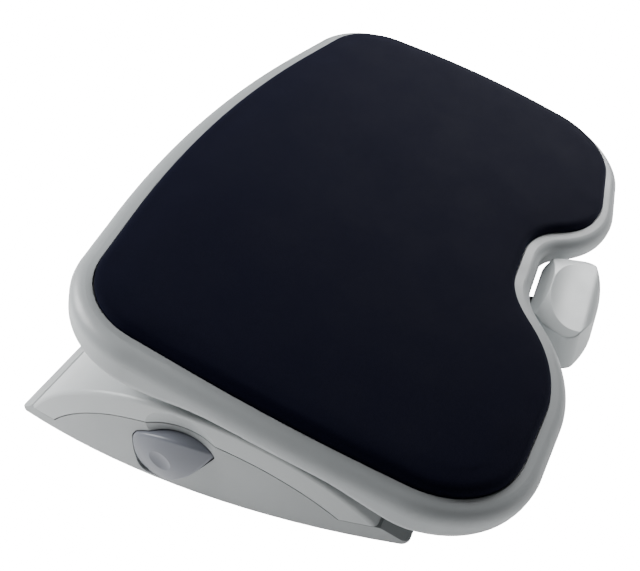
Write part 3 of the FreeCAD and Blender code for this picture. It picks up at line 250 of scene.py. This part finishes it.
def knit_group() -> bpy.types.NodeTree:
    """Effect of a close knitted cover: rows of tiny loops with painted shade in the hollows between them, a
    soft nap and faint lint.

    Returns:
        The effect's group.
    """
    group = new_group(
        "close_knit",
        {
            "Colour": ("NodeSocketColor", (0.01, 0.01, 0.02, 1.0)),
            "Lint": ("NodeSocketColor", (0.1, 0.1, 0.12, 1.0)),
            "Loops": ("NodeSocketFloat", 900.0),
            "Nap": ("NodeSocketFloat", 0.12),
        },
        {"Colour": "NodeSocketColor", "Roughness": "NodeSocketFloat", "Height": "NodeSocketFloat"},
    )
    w = Wiring(group)
    given, out = group.nodes["in"], group.nodes["out"]
    place = w.node("ShaderNodeTexCoord").outputs["Object"]
    axes = w.node("ShaderNodeSeparateXYZ")
    w.join(place, axes.inputs[0])
    drift = w.math("MULTIPLY", w.math("SUBTRACT", w.noise(place, 60.0, 2.0), 0.5), 2.5)
    across = w.math("ADD", w.math("MULTIPLY", axes.outputs["X"], given.outputs["Loops"]), drift)
    along = w.math("ADD", w.math("MULTIPLY", axes.outputs["Y"], given.outputs["Loops"]), drift)
    rib = w.math("SINE", w.math("MULTIPLY", across, math.tau))
    slant = w.math("MULTIPLY", w.math("ABSOLUTE", rib), 0.35)
    loop = w.math("SINE", w.math("MULTIPLY", w.math("ADD", along, slant), math.tau))
    weave = w.math("ADD", w.math("MULTIPLY", rib, 0.25), w.math("MULTIPLY", loop, 0.25))
    fuzz = w.noise(place, 3200.0, 3.0, 0.7)
    height = w.math("ADD", w.math("ADD", weave, 0.5), w.math("MULTIPLY", fuzz, 0.6))
    w.join(height, out.inputs["Height"])
    cloud = w.math("SUBTRACT", w.noise(place, 22.0, 4.0, 0.6), 0.5)
    # Painted shade: the weave term darkens the colour in the hollows between the loops and lightens the loop
    # tops; the nap cloud is random tone.
    light = w.math("ADD", w.math("MULTIPLY", cloud, given.outputs["Nap"]), w.math("MULTIPLY", weave, 0.3))
    base = w.shade(given.outputs["Colour"], w.math("ADD", light, 1.0))
    speck = w.remap(w.noise(place, 1500.0, 1.0), 0.74, 0.82, 0.0, 0.5)
    mix = w.node("ShaderNodeMix", data_type="RGBA")
    w.join(speck, mix.inputs["Factor"])
    w.join(base, mix.inputs[6])
    w.join(given.outputs["Lint"], mix.inputs[7])
    w.join(mix.outputs[2], out.inputs["Colour"])
    w.join(w.remap(cloud, -0.2, 0.2, 0.86, 0.90), out.inputs["Roughness"])
    return group


def metal_group() -> bpy.types.NodeTree:
    """Effect of drawn or plated steel: fine lines along X, and clouds of dull plating.

    Returns:
        The effect's group.
    """
    group = new_group(
        "worked_steel",
        {
            "Colour": ("NodeSocketColor", (0.6, 0.6, 0.6, 1.0)),
            "Roughness": ("NodeSocketFloat", 0.3),
            "Lines": ("NodeSocketFloat", 1.0),
        },
        {"Colour": "NodeSocketColor", "Roughness": "NodeSocketFloat", "Height": "NodeSocketFloat"},
    )
    w = Wiring(group)
    given, out = group.nodes["in"], group.nodes["out"]
    place = w.node("ShaderNodeTexCoord").outputs["Object"]
    stretch = w.node("ShaderNodeMapping")
    stretch.inputs["Scale"].default_value = (60.0, 1800.0, 1800.0)
    w.join(place, stretch.inputs["Vector"])
    lines = w.noise(stretch.outputs[0], 1.0, 2.0)
    cloud = w.noise(place, 160.0, 3.0)
    light = w.math("ADD", w.math("MULTIPLY", w.math("SUBTRACT", cloud, 0.5), 0.25), 1.0)
    w.join(w.shade(given.outputs["Colour"], light), out.inputs["Colour"])
    spread = w.math("MULTIPLY", w.math("SUBTRACT", lines, 0.5), 0.2)
    w.join(w.math("ADD", given.outputs["Roughness"], spread, clamp=True), out.inputs["Roughness"])
    w.join(w.math("MULTIPLY", lines, given.outputs["Lines"]), out.inputs["Height"])
    return group


class Effects:
    """The shared node groups, each built once."""

    def __init__(self) -> None:
        """Starts with none built."""
        self.built: dict[str, bpy.types.NodeTree] = {}

    def place(self, wiring: Wiring, make: Callable[[], bpy.types.NodeTree]) -> bpy.types.Node:
        """Puts an effect into a material.

        Args:
            wiring: the material's nodes.
            make: the function that builds the effect's group.

        Returns:
            The group node.
        """
        if make.__name__ not in self.built:
            self.built[make.__name__] = make()
        return wiring.node("ShaderNodeGroup", node_tree=self.built[make.__name__])


EFFECTS = Effects()


# Finishes

def start_material(name: str) -> tuple[bpy.types.Material, Wiring, bpy.types.Node]:
    """Starts a material.

    Args:
        name: the material's name.

    Returns:
        The material, its wiring and its Principled shader.
    """
    material = bpy.data.materials.new(name)
    material.use_nodes = True
    wiring = Wiring(material.node_tree)
    return material, wiring, material.node_tree.nodes["Principled BSDF"]


def add_bump(w: Wiring, shader: bpy.types.Node, height: bpy.types.NodeSocket, depth: float,
             edge_radius: float = 0.0) -> None:
    """Gives a shader its fine relief, over edges that are softened by a small radius.

    Args:
        w: the material's wiring.
        shader: the Principled shader.
        height: socket with the relief, about 0 to 1.
        depth: depth of the relief in metres.
        edge_radius: radius of the softened edges, 0 for none.
    """
    bump = w.node("ShaderNodeBump")
    bump.inputs["Strength"].default_value = 1.0
    bump.inputs["Distance"].default_value = depth
    w.join(height, bump.inputs["Height"])
    if edge_radius > 0:
        bevel = w.node("ShaderNodeBevel", samples=6)
        bevel.inputs["Radius"].default_value = edge_radius
        w.join(bevel.outputs["Normal"], bump.inputs["Normal"])
    w.join(bump.outputs["Normal"], shader.inputs["Normal"])


def glow(w: Wiring, shining: float, looking: float) -> bpy.types.NodeSocket:
    """Strength of a glow that looks brighter to the camera than it shines on the object.

    Args:
        w: wiring of the floor or the sky.
        shining: strength of what it shines.
        looking: what is added where the camera sees it.

    Returns:
        The strength's socket.
    """
    seen = w.node("ShaderNodeLightPath").outputs["Is Camera Ray"]
    return w.math("ADD", w.math("MULTIPLY", seen, looking), shining)


@dataclass(frozen=True)
class MouldedPlastic:
    """Satin moulded plastic of one colour."""

    name: str
    colour: tuple[float, float, float]
    roughness: float = 0.42
    mottle: float = 0.06
    grain_depth: float = 0.00001
    edge_radius: float = 0.0006

    def material(self) -> bpy.types.Material:
        """Builds the material.

        Returns:
            The material.
        """
        material, w, shader = start_material(self.name)
        skin = EFFECTS.place(w, moulded_skin_group)
        skin.inputs["Colour"].default_value = (*self.colour, 1.0)
        skin.inputs["Mottle"].default_value = self.mottle
        skin.inputs["Roughness"].default_value = self.roughness
        w.join(skin.outputs["Colour"], shader.inputs["Base Color"])
        w.join(skin.outputs["Roughness"], shader.inputs["Roughness"])
        shader.inputs["Specular IOR Level"].default_value = 0.45
        add_bump(w, shader, skin.outputs["Height"], self.grain_depth, self.edge_radius)
        return material


@dataclass(frozen=True)
class KnitCover:
    """Close knitted fabric cover."""

    name: str
    colour: tuple[float, float, float]
    lint: tuple[float, float, float] = (0.016, 0.017, 0.028)
    loops_per_metre: float = 1100.0
    relief: float = 0.00006
    sheen: float = 0.03

    def material(self) -> bpy.types.Material:
        """Builds the material.

        Returns:
            The material.
        """
        material, w, shader = start_material(self.name)
        knit = EFFECTS.place(w, knit_group)
        knit.inputs["Colour"].default_value = (*self.colour, 1.0)
        knit.inputs["Lint"].default_value = (*self.lint, 1.0)
        knit.inputs["Loops"].default_value = self.loops_per_metre
        w.join(knit.outputs["Colour"], shader.inputs["Base Color"])
        w.join(knit.outputs["Roughness"], shader.inputs["Roughness"])
        shader.inputs["Specular IOR Level"].default_value = 0.06
        shader.inputs["Sheen Weight"].default_value = self.sheen
        shader.inputs["Sheen Roughness"].default_value = 0.45
        shader.inputs["Sheen Tint"].default_value = (0.42, 0.46, 0.95, 1.0)
        add_bump(w, shader, knit.outputs["Height"], self.relief)
        return material


@dataclass(frozen=True)
class WorkedSteel:
    """Drawn, ground or plated steel."""

    name: str
    colour: tuple[float, float, float]
    roughness: float = 0.32
    line_depth: float = 0.000006

    def material(self) -> bpy.types.Material:
        """Builds the material.

        Returns:
            The material.
        """
        material, w, shader = start_material(self.name)
        steel = EFFECTS.place(w, metal_group)
        steel.inputs["Colour"].default_value = (*self.colour, 1.0)
        steel.inputs["Roughness"].default_value = self.roughness
        shader.inputs["Metallic"].default_value = 1.0
        w.join(steel.outputs["Colour"], shader.inputs["Base Color"])
        w.join(steel.outputs["Roughness"], shader.inputs["Roughness"])
        add_bump(w, shader, steel.outputs["Height"], self.line_depth, 0.0002)
        return material


FINISHES = {
    Slot.FRAME: MouldedPlastic("frame_plastic", (0.37, 0.392, 0.402)),
    Slot.RISER: MouldedPlastic("riser_plastic", (0.462, 0.485, 0.491)),
    Slot.BASE: MouldedPlastic("base_plastic", (0.350, 0.368, 0.375)),
    Slot.PEDAL: MouldedPlastic("pedal_plastic", (0.527, 0.558, 0.565), roughness=0.36),
    Slot.BUTTON: MouldedPlastic("button_plastic", (0.155, 0.165, 0.195), roughness=0.36),
    Slot.INNER: MouldedPlastic("inner_plastic", (0.10, 0.10, 0.11), roughness=0.5),
    Slot.BUSH: MouldedPlastic("bush_plastic", (0.75, 0.74, 0.70), roughness=0.4, edge_radius=0.0002),
    Slot.RUBBER: MouldedPlastic("rubber", (0.03, 0.03, 0.03), roughness=0.75, grain_depth=0.00003),
    Slot.PAD: KnitCover("pad_fabric", (0.0008, 0.0012, 0.0075)),
    Slot.STEEL: WorkedSteel("steel", (0.55, 0.55, 0.56)),
    Slot.PLATED: WorkedSteel("plated_steel", (0.62, 0.63, 0.65), roughness=0.38),
    Slot.SCREW: WorkedSteel("screw_steel", (0.50, 0.50, 0.52), roughness=0.3),
}
MATERIALS = {slot: finish.material() for slot, finish in FINISHES.items()}


# Plane outlines

@dataclass(frozen=True)
class Corner:
    """A corner of an outline and the radius of the arc that rounds it."""

    x: float
    y: float
    radius: float


class RoundedOutline:
    """Closed outline, clockwise, whose straight edges meet in tangent arcs."""

    def __init__(self, corners: list[Corner], step: float = 0.5 * MM) -> None:
        """Walks the outline.

        Args:
            corners: the corners in order.
            step: distance between the points of the walk.
        """
        self.points: list[np.ndarray] = []
        self.outward: list[np.ndarray] = []
        self.arc_middle: list[int] = []
        count = len(corners)
        for i in range(count):
            here = np.array([corners[i].x, corners[i].y])
            before = np.array([corners[i - 1].x, corners[i - 1].y])
            after = np.array([corners[(i + 1) % count].x, corners[(i + 1) % count].y])
            self._walk_arc(here, before, after, corners[i].radius, step)
        self._close(step)

    def _walk_arc(self, here: np.ndarray, before: np.ndarray, after: np.ndarray, radius: float,
                  step: float) -> None:
        """Adds one corner's arc, with the run that leads to it.

        Args:
            here: the corner.
            before: the corner before it.
            after: the corner after it.
            radius: radius of the arc.
            step: distance between points.
        """
        back = (before - here) / np.linalg.norm(before - here)
        ahead = (after - here) / np.linalg.norm(after - here)
        half = math.acos(float(np.clip(back @ ahead, -1, 1))) / 2
        bisector = (back + ahead) / np.linalg.norm(back + ahead)
        centre = here + bisector * (radius / math.sin(half))
        start = here + back * (radius / math.tan(half))
        sweep = math.pi - 2 * half
        turn = back[0] * ahead[1] - back[1] * ahead[0]
        sign = -1.0 if turn < 0 else 1.0
        arm = start - centre
        if self.points:
            self._walk_run(self.points[-1], start, step)
        count = max(2, int(radius * sweep / step))
        self.arc_middle.append(len(self.points) + count // 2)
        for k in range(count + 1):
            angle = sign * sweep * k / count * -1.0
            c, s = math.cos(angle), math.sin(angle)
            spoke = np.array([c * arm[0] - s * arm[1], s * arm[0] + c * arm[1]])
            self.points.append(centre + spoke)
            convex = 1.0 if sign > 0 else -1.0
            self.outward.append(spoke / radius * convex)

    def _walk_run(self, start: np.ndarray, end: np.ndarray, step: float) -> None:
        """Adds the straight run between two arcs.

        Args:
            start: end of the first arc.
            end: start of the second arc.
            step: distance between points.
        """
        span = end - start
        length = float(np.linalg.norm(span))
        if length < step:
            return
        way = span / length
        normal = np.array([-way[1], way[0]])
        count = int(length / step)
        for k in range(1, count):
            self.points.append(start + span * k / count)
            self.outward.append(normal)

    def _close(self, step: float) -> None:
        """Adds the last run and measures the walk.

        Args:
            step: distance between points.
        """
        self._walk_run(self.points[-1], self.points[0], step)
        self.path = np.array(self.points)
        self.normals = np.array(self.outward)
        following = np.roll(self.path, -1, axis=0)
        self.lengths = np.linalg.norm(following - self.path, axis=1)

    def sample(self, first: int, last: int, count: int) -> tuple[np.ndarray, np.ndarray]:
        """Evenly spaced points of a stretch.

        Args:
            first: index of the walk where the stretch starts.
            last: index where it ends, which isn't included.
            count: number of points.

        Returns:
            The points and their outward normals.
        """
        size = len(self.path)
        stop = last if last > first else last + size
        index = np.arange(first, stop + 1) % size
        along = np.concatenate([[0.0], np.cumsum(self.lengths[index[:-1]])])
        wanted = np.linspace(0, along[-1], count, endpoint=False)
        spots = np.stack([np.interp(wanted, along, self.path[index, k]) for k in range(2)], axis=1)
        ways = np.stack([np.interp(wanted, along, self.normals[index, k]) for k in range(2)], axis=1)
        return spots, ways / np.linalg.norm(ways, axis=1)[:, None]


def coons(ring: np.ndarray, across: int, down: int) -> np.ndarray:
    """Fills a ring of points with a grid.

    Args:
        ring: points of the ring; its first across points are one side, the next down the second, and so on.
        across: steps of the first and third side.
        down: steps of the second and fourth side.

    Returns:
        Grid of points, (down + 1) rows of (across + 1).
    """
    closed = np.vstack([ring, ring[:1]])
    top = closed[:across + 1]
    right = closed[across:across + down + 1]
    bottom = closed[across + down:2 * across + down + 1][::-1]
    left = closed[2 * across + down:2 * across + 2 * down + 1][::-1]
    u = np.linspace(0, 1, across + 1)[None, :, None]
    v = np.linspace(0, 1, down + 1)[:, None, None]
    ruled_v = (1 - v) * top[None] + v * bottom[None]
    ruled_u = (1 - u) * left[:, None] + u * right[:, None]
    corners = ((1 - u) * (1 - v) * top[0] + u * (1 - v) * top[-1]
               + (1 - u) * v * bottom[0] + u * v * bottom[-1])
    return ruled_v + ruled_u - corners


# Sub-assemblies

@dataclass
class FoamPad:
    """Covered foam pad in the platform's pocket."""

    back_y: float = 180.3 * MM
    back_radius: float = 919.0 * MM
    corner_x: float = 252.6 * MM
    corner_y: float = 137.4 * MM
    corner_radius: float = 59.0 * MM
    side_x: float = 262.4 * MM
    side_y: float = -12.0 * MM
    side_radius: float = 934.0 * MM
    lobe_x: float = 251.0 * MM
    lobe_y: float = -156.2 * MM
    lobe_radius: float = 70.6 * MM
    mouth_x: float = 102.0 * MM
    mouth_y: float = -170.2 * MM
    mouth_radius: float = 92.3 * MM
    root_x: float = 43.5 * MM
    root_y: float = -113.9 * MM
    root_radius: float = 64.8 * MM
    height: float = 6.8 * MM
    lip: float = 1.0 * MM
    wall_inset: float = 0.45 * MM
    foot: tuple[Point, ...] = ((4.0 * MM, 0.0), (1.6 * MM, 0.0), (0.8 * MM, 0.7 * MM),
                               (0.55 * MM, 1.8 * MM), (0.45 * MM, 3.0 * MM))
    roll: float = 6.6 * MM
    roll_steps: int = 8
    roll_fullness: float = 0.9
    shoulder_inset: float = 3.5 * MM
    shoulder_rise: float = 0.15 * MM
    top_inset: float = 8.0 * MM
    top_rise: float = 0.3 * MM
    crown_share: float = 0.5
    valley_depth: float = 0.9 * MM
    valley_half: float = 46 * MM
    valley_length: float = 0.12
    unevenness: float = 0.25 * MM
    side_rise: float = 3.3 * MM
    front_fall: float = 5.5 * MM
    half_width: float = 255.0 * MM
    half_depth: float = 165.0 * MM
    seat: float = -3.2 * MM
    tilt: float = math.radians(16.2)
    pivot_y: float = -8.6 * MM
    pivot_z: float = 66.0 * MM
    pivot_drop: float = 35.4 * MM
    steps_across: int = 108
    steps_down: int = 70
    swell_limit: float = 1.0 * MM
    cloth_frames: int = 20
    cover_slack: float = 0.96
    calming_rounds: int = 14
    calming_own_share: float = 0.35

    def outline(self) -> RoundedOutline:
        """The pad's outline, clockwise from the back's middle.

        Returns:
            The outline.
        """
        right = [
            Corner(0.0, self.back_y, self.back_radius),
            Corner(self.corner_x, self.corner_y, self.corner_radius),
            Corner(self.side_x, self.side_y, self.side_radius),
            Corner(self.lobe_x, self.lobe_y, self.lobe_radius),
            Corner(self.mouth_x, self.mouth_y, self.mouth_radius),
            Corner(self.root_x, self.root_y, self.root_radius),
        ]
        left = [Corner(-c.x, c.y, c.radius) for c in reversed(right[1:])]
        return RoundedOutline(right + left)

    def ring(self) -> tuple[np.ndarray, np.ndarray]:
        """Points round the outline, in four stretches that start at the middles of the corners.

        Returns:
            The points and their outward normals.
        """
        line = self.outline()
        corner_right, lobe_right = line.arc_middle[1], line.arc_middle[3]
        lobe_left, corner_left = line.arc_middle[-3], line.arc_middle[-1]
        stops = [corner_left, corner_right, lobe_right, lobe_left, corner_left]
        counts = [self.steps_across, self.steps_down, self.steps_across, self.steps_down]
        parts = [line.sample(stops[i], stops[i + 1], counts[i]) for i in range(4)]
        return np.vstack([p for p, _ in parts]), np.vstack([n for _, n in parts])

    def saddle(self, spots: np.ndarray) -> np.ndarray:
        """Height of the platform's saddle surface.

        Args:
            spots: points of the platform's plane.

        Returns:
            The height at each point.
        """
        across = self.side_rise * (spots[..., 0] / self.half_width) ** 2
        along = self.front_fall * (spots[..., 1] / self.half_depth) ** 2
        return across - along

    def crown(self, spots: np.ndarray) -> np.ndarray:
        """Soft swells and hollows of the foam: a faint valley down the middle, a little unevenness.

        Args:
            spots: points of the platform's plane.

        Returns:
            The height at each point.
        """
        x, y = spots[..., 0], spots[..., 1]
        depth = self.valley_depth * np.clip((y + self.valley_length) / self.valley_length, 0, 1)
        valley = -depth * np.exp(-(x / self.valley_half) ** 2)
        broad = np.sin(x * 31.0 + 0.7) * np.sin(y * 27.0 + 1.9)
        slanting = np.sin(x * 57.0 - y * 44.0)
        return valley + self.unevenness * (broad + slanting)

    def to_world(self, flat: np.ndarray) -> np.ndarray:
        """Tilts the pad and sets it over its pivot.

        Args:
            flat: points of the level pad, about its own middle.

        Returns:
            The points in the frame's axes.
        """
        c, s = math.cos(self.tilt), math.sin(self.tilt)
        x, y, z = flat[:, 0], flat[:, 1], flat[:, 2] + self.pivot_drop
        return np.stack([x, self.pivot_y + c * y - s * z, self.pivot_z + s * y + c * z], axis=1)

    def edge_profile(self) -> list[tuple[float, float]]:
        """Section of the edge, from the bottom to the top.

        Returns:
            Inset and height of each ring.
        """
        rows = [(inset, self.seat + rise) for inset, rise in self.foot]
        rows.append((self.wall_inset, self.lip))
        for k in range(1, self.roll_steps + 1):
            angle = math.pi / 2 * k / self.roll_steps
            inset = self.wall_inset + self.roll * (1 - math.cos(angle))
            rows.append((inset, self.lip + (self.height - self.lip) * math.sin(angle) ** self.roll_fullness))
        rows.append((self.roll + self.shoulder_inset, self.height + self.shoulder_rise))
        rows.append((self.roll + self.top_inset, self.height + self.top_rise))
        return rows

    def mesh(self) -> bpy.types.Object:
        """Builds the pad: rings up its edge, and a grid over the top and the bottom.

        Returns:
            The pad.
        """
        ring, normals = self.ring()
        count = len(ring)
        verts: list[np.ndarray] = []
        profile = self.edge_profile()
        for inset, level in profile:
            spots = ring - normals * inset
            lift = self.saddle(spots) + level
            if level > self.height:
                lift = lift + self.crown(spots) * self.crown_share
            verts.append(np.column_stack([spots, lift]))
        rings = np.vstack(verts)
        faces: list[tuple[int, ...]] = []
        for k in range(len(profile) - 1):
            for i in range(count):
                j = (i + 1) % count
                faces.append((k * count + i, (k + 1) * count + i, (k + 1) * count + j, k * count + j))
        flat = self._with_caps(rings, faces, count, len(profile))
        data = bpy.data.meshes.new("foam_pad_cover")
        data.from_pydata(self.to_world(flat).tolist(), [], faces)
        data.update()
        pad = bpy.data.objects.new("foam_pad_cover", data)
        bpy.context.scene.collection.objects.link(pad)
        bm = bmesh.new()
        bm.from_mesh(data)
        bmesh.ops.remove_doubles(bm, verts=bm.verts, dist=1e-6)
        bmesh.ops.recalc_face_normals(bm, faces=bm.faces)
        bm.to_mesh(data)
        bm.free()
        data.shade_smooth()
        return pad

    def _with_caps(self, rings: np.ndarray, faces: list[tuple[int, ...]], count: int,
                   levels: int) -> np.ndarray:
        """Adds the grids that close the pad's top and bottom.

        Args:
            rings: points of all rings.
            faces: list of faces, which is added to.
            count: points in a ring.
            levels: number of rings.

        Returns:
            All points.
        """
        parts = [rings]
        top = self.height + self.top_rise
        for start, level, crowned in ((0, self.seat, False), ((levels - 1) * count, top, True)):
            edge = rings[start:start + count, :2]
            grid = coons(edge, self.steps_across, self.steps_down)
            lift = self.saddle(grid) + level
            if crowned:
                lift = lift + self.crown(grid) * self.crown_share
            offset = sum(len(p) for p in parts)
            rows, columns = grid.shape[:2]
            for r in range(rows - 1):
                for c in range(columns - 1):
                    a = offset + r * columns + c
                    faces.append((a, a + 1, a + columns + 1, a + columns))
            parts.append(np.column_stack([grid.reshape(-1, 2), lift.reshape(-1)]))
        return np.vstack(parts)

    def level_of(self, spots: np.ndarray) -> np.ndarray:
        """Height above the platform's saddle surface.

        Args:
            spots: points of the tilted pad, in the frame's axes.

        Returns:
            The height of each point.
        """
        c, s = math.cos(self.tilt), math.sin(self.tilt)
        y, z = spots[:, 1] - self.pivot_y, spots[:, 2] - self.pivot_z
        flat = np.stack([spots[:, 0], c * y + s * z], axis=1)
        return c * z - s * y - self.pivot_drop - self.saddle(flat)

    def swell(self, pad: bpy.types.Object) -> None:
        """Lets the knitted cover swell over the foam as cloth, held in the pocket all round.

        Args:
            pad: the pad, a little smaller than it ends up.
        """
        rest = np.array([v.co[:] for v in pad.data.vertices])
        free = np.clip((self.level_of(rest) - self.lip) / (self.height - self.lip), 0, 1)
        held = pad.vertex_groups.new(name="held")
        for i, share in enumerate(free):
            held.add([i], float(1 - self.cover_slack * share), "REPLACE")
        cloth = pad.modifiers.new("cover", "CLOTH")
        cover = cloth.settings
        cover.quality = 5
        cover.mass = 0.3
        cover.tension_stiffness = cover.compression_stiffness = 20.0
        cover.shear_stiffness = 6.0
        cover.bending_stiffness = 12.0
        cover.use_pressure = True
        cover.uniform_pressure_force = 4.0
        cover.vertex_group_mass = held.name
        cover.pin_stiffness = 1.0
        cover.effector_weights.gravity = 0.0
        cloth.collision_settings.use_collision = False
        scene = bpy.context.scene
        for number in range(1, self.cloth_frames + 1):
            scene.frame_set(number)
        posed = pad.evaluated_get(bpy.context.evaluated_depsgraph_get()).data
        moved = np.array([v.co[:] for v in posed.vertices]) - rest
        pad.modifiers.remove(cloth)
        pad.vertex_groups.clear()
        scene.frame_set(1)
        moved = self.even_out(pad, moved)
        length = np.linalg.norm(moved, axis=1)
        capped = self.swell_limit * np.tanh(length / self.swell_limit) / np.maximum(length, 1e-9)
        settled = rest + moved * capped[:, None]
        pad.data.vertices.foreach_set("co", settled.reshape(-1))
        pad.data.update()
        kept = length * capped
        log.info("cover swelled by %.2f mm as simulated, %.2f mm as kept", length.max() / MM, kept.max() / MM)

    def even_out(self, pad: bpy.types.Object, moved: np.ndarray) -> np.ndarray:
        """Takes the finest wrinkles out of the cover's movement, since the cover is taut.

        Args:
            pad: the pad.
            moved: movement of each of its points.

        Returns:
            The calmer movement.
        """
        ends = np.zeros(len(pad.data.edges) * 2, dtype=np.int64)
        pad.data.edges.foreach_get("vertices", ends)
        a, b = ends.reshape(-1, 2).T
        meeting = np.bincount(ends, minlength=len(moved))[:, None]
        for _ in range(self.calming_rounds):
            around = np.zeros_like(moved)
            np.add.at(around, a, moved[b])
            np.add.at(around, b, moved[a])
            moved = self.calming_own_share * moved + (1 - self.calming_own_share) * around / meeting
        return moved

    def refine(self, pad: bpy.types.Object) -> None:
        """Divides the pad's faces once, for good.

        Args:
            pad: the pad.
        """
        finer = pad.modifiers.new("finer", "SUBSURF")
        finer.levels = finer.render_levels = 1
        smooth = bpy.data.meshes.new_from_object(pad.evaluated_get(bpy.context.evaluated_depsgraph_get()))
        pad.modifiers.remove(finer)
        pad.data = smooth
        pad.data.shade_smooth()

    def build(self) -> None:
        """Makes the pad and sets it on the platform."""
        pad = self.mesh()
        self.swell(pad)
        self.refine(pad)
        pad.data.materials.clear()
        pad.data.materials.append(MATERIALS[Slot.PAD])
        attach(pad, "platform")
        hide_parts("foam_pad")
        log.info("piece %s: %d faces", pad.name, len(pad.data.polygons))


@dataclass
class Assembly:
    """Solids of the frame that are dressed together."""

    record: dict

    def slot_of(self, solid: str) -> Slot:
        """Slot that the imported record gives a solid.

        Args:
            solid: the solid's name.

        Returns:
            Its slot.
        """
        return next(Slot(row["material_slot"]) for row in self.record["subparts"] if row["node"] == solid)

    def dress(self, *solids: str) -> None:
        """Gives solids the finish of their slots.

        Args:
            solids: names of the solids.
        """
        for name in solids:
            data = frame["nodes"][name].data
            data.materials.clear()
            data.materials.append(MATERIALS[self.slot_of(name)])
            log.info("solid %s: %s", name, self.slot_of(name).value)

    def dress_pairs(self, *solids: str) -> None:
        """Dresses solids that have a left and a right one.

        Args:
            solids: names without left or right.
        """
        for name in solids:
            self.dress(name + "_left", name + "_right")


@dataclass
class Platform(Assembly):
    """Tilting platform: moulded frame, foam pad, hinge ears and brake plate."""

    pad: FoamPad = field(default_factory=FoamPad)

    def build(self) -> None:
        """Dresses the solids and makes the pad."""
        self.dress("platform_frame", "foam_pad", "axle_bushes", "ear_screws", "brake_sector")
        self.dress_pairs("pivot_ear")
        self.pad.build()


@dataclass
class Riser(Assembly):
    """Upper shell of the base, with the axle, its brackets and the slide rails."""

    def build(self) -> None:
        """Dresses the solids."""
        self.dress("riser_cover", "tilt_axle", "axle_clips", "riser_screws")
        self.dress_pairs("hinge_bracket", "slide_rail")


@dataclass
class Base(Assembly):
    """Lower shell on its rubber feet, with the guide posts."""

    def build(self) -> None:
        """Dresses the solids."""
        self.dress("base_tray", "rubber_feet", "guide_screws")
        self.dress_pairs("guide_frame")


@dataclass
class PedalBrake(Assembly):
    """Foot pedal and the brake that it frees."""

    def build(self) -> None:
        """Dresses the solids."""
        self.dress("pedal", "pedal_arm", "pedal_screws", "pedal_pin", "pedal_bracket")
        self.dress("brake_lever", "brake_shoe", "lever_pin", "brake_spring")


@dataclass
class HeightButtons(Assembly):
    """Side buttons with their latches and springs."""

    def build(self) -> None:
        """Dresses the solids."""
        self.dress_pairs("height_button", "latch_plate", "latch_plunger", "button_screw", "button_spring")


# Studio

@dataclass(frozen=True)
class Lamp:
    """Square soft lamp that points at the object."""

    name: str
    place: tuple[float, float, float]
    side: float
    power: float

    def hang(self) -> None:
        """Hangs the lamp."""
        data = bpy.data.lights.new(self.name, "AREA")
        data.shape = "SQUARE"
        data.size = self.side
        data.energy = self.power
        made = bpy.data.objects.new(self.name, data)
        bpy.context.scene.collection.objects.link(made)
        made.location = self.place
        made.rotation_euler = Vector(self.place).to_track_quat("Z", "Y").to_euler()


@dataclass
class Studio:
    """Pale floor, soft lights and the camera."""

    camera_place: tuple[float, float, float] = (-0.5477, -0.1812, 0.4553)
    azimuth: float = math.radians(-67.06)
    elevation: float = math.radians(38.22)
    lens: float = 45.06
    sensor: float = 36.0
    floor_half: float = 6.0
    floor_glow: float = 0.7
    backdrop_glow: float = 16.0
    sky_strength: float = 0.07
    lamps: tuple[Lamp, ...] = (
        Lamp("back_left_lamp", (-0.3, 1.05, 0.8), 0.6, 26.0),
        Lamp("far_lamp", (1.3, -0.25, 0.75), 0.8, 30.0),
        Lamp("top_lamp", (0.3, 0.6, 1.8), 1.2, 3.0),
    )

    def camera(self) -> None:
        """Places the camera."""
        data = bpy.data.cameras.new("camera")
        data.lens = self.lens
        data.sensor_width = self.sensor
        data.sensor_fit = "HORIZONTAL"
        data.clip_start = 0.01
        made = bpy.data.objects.new("camera", data)
        bpy.context.scene.collection.objects.link(made)
        back = Vector((math.sin(self.azimuth) * math.cos(self.elevation),
                       -math.cos(self.azimuth) * math.cos(self.elevation), math.sin(self.elevation)))
        made.location = self.camera_place
        made.rotation_euler = back.to_track_quat("Z", "Y").to_euler()
        bpy.context.scene.camera = made

    def floor(self) -> None:
        """Lays the pale floor."""
        h = self.floor_half
        data = bpy.data.meshes.new("floor")
        data.from_pydata([(-h, -h, 0), (h, -h, 0), (h, h, 0), (-h, h, 0)], [], [(0, 1, 2, 3)])
        material, w, shader = start_material("floor")
        shader.inputs["Base Color"].default_value = (0.92, 0.92, 0.92, 1.0)
        shader.inputs["Roughness"].default_value = 0.9
        shader.inputs["Specular IOR Level"].default_value = 0.1
        shader.inputs["Emission Color"].default_value = WHITE
        w.join(glow(w, self.floor_glow, self.backdrop_glow), shader.inputs["Emission Strength"])
        data.materials.append(material)
        made = bpy.data.objects.new("floor", data)
        bpy.context.scene.collection.objects.link(made)

    def build(self) -> None:
        """Sets up the whole studio."""
        self.camera()
        self.floor()
        world = bpy.data.worlds.new("studio")
        world.use_nodes = True
        sky = world.node_tree.nodes["Background"]
        sky.inputs["Color"].default_value = WHITE
        w = Wiring(world.node_tree)
        w.join(glow(w, self.sky_strength, self.backdrop_glow), sky.inputs["Strength"])
        bpy.context.scene.world = world
        for lamp in self.lamps:
            lamp.hang()


def main() -> None:
    """Dresses the solids, builds the soft piece and sets up the studio."""
    record = frame["record"]
    for part in (Platform(record), Riser(record), Base(record), PedalBrake(record), HeightButtons(record)):
        part.build()
    Studio().build()


if __name__ == "__main__":
    main()
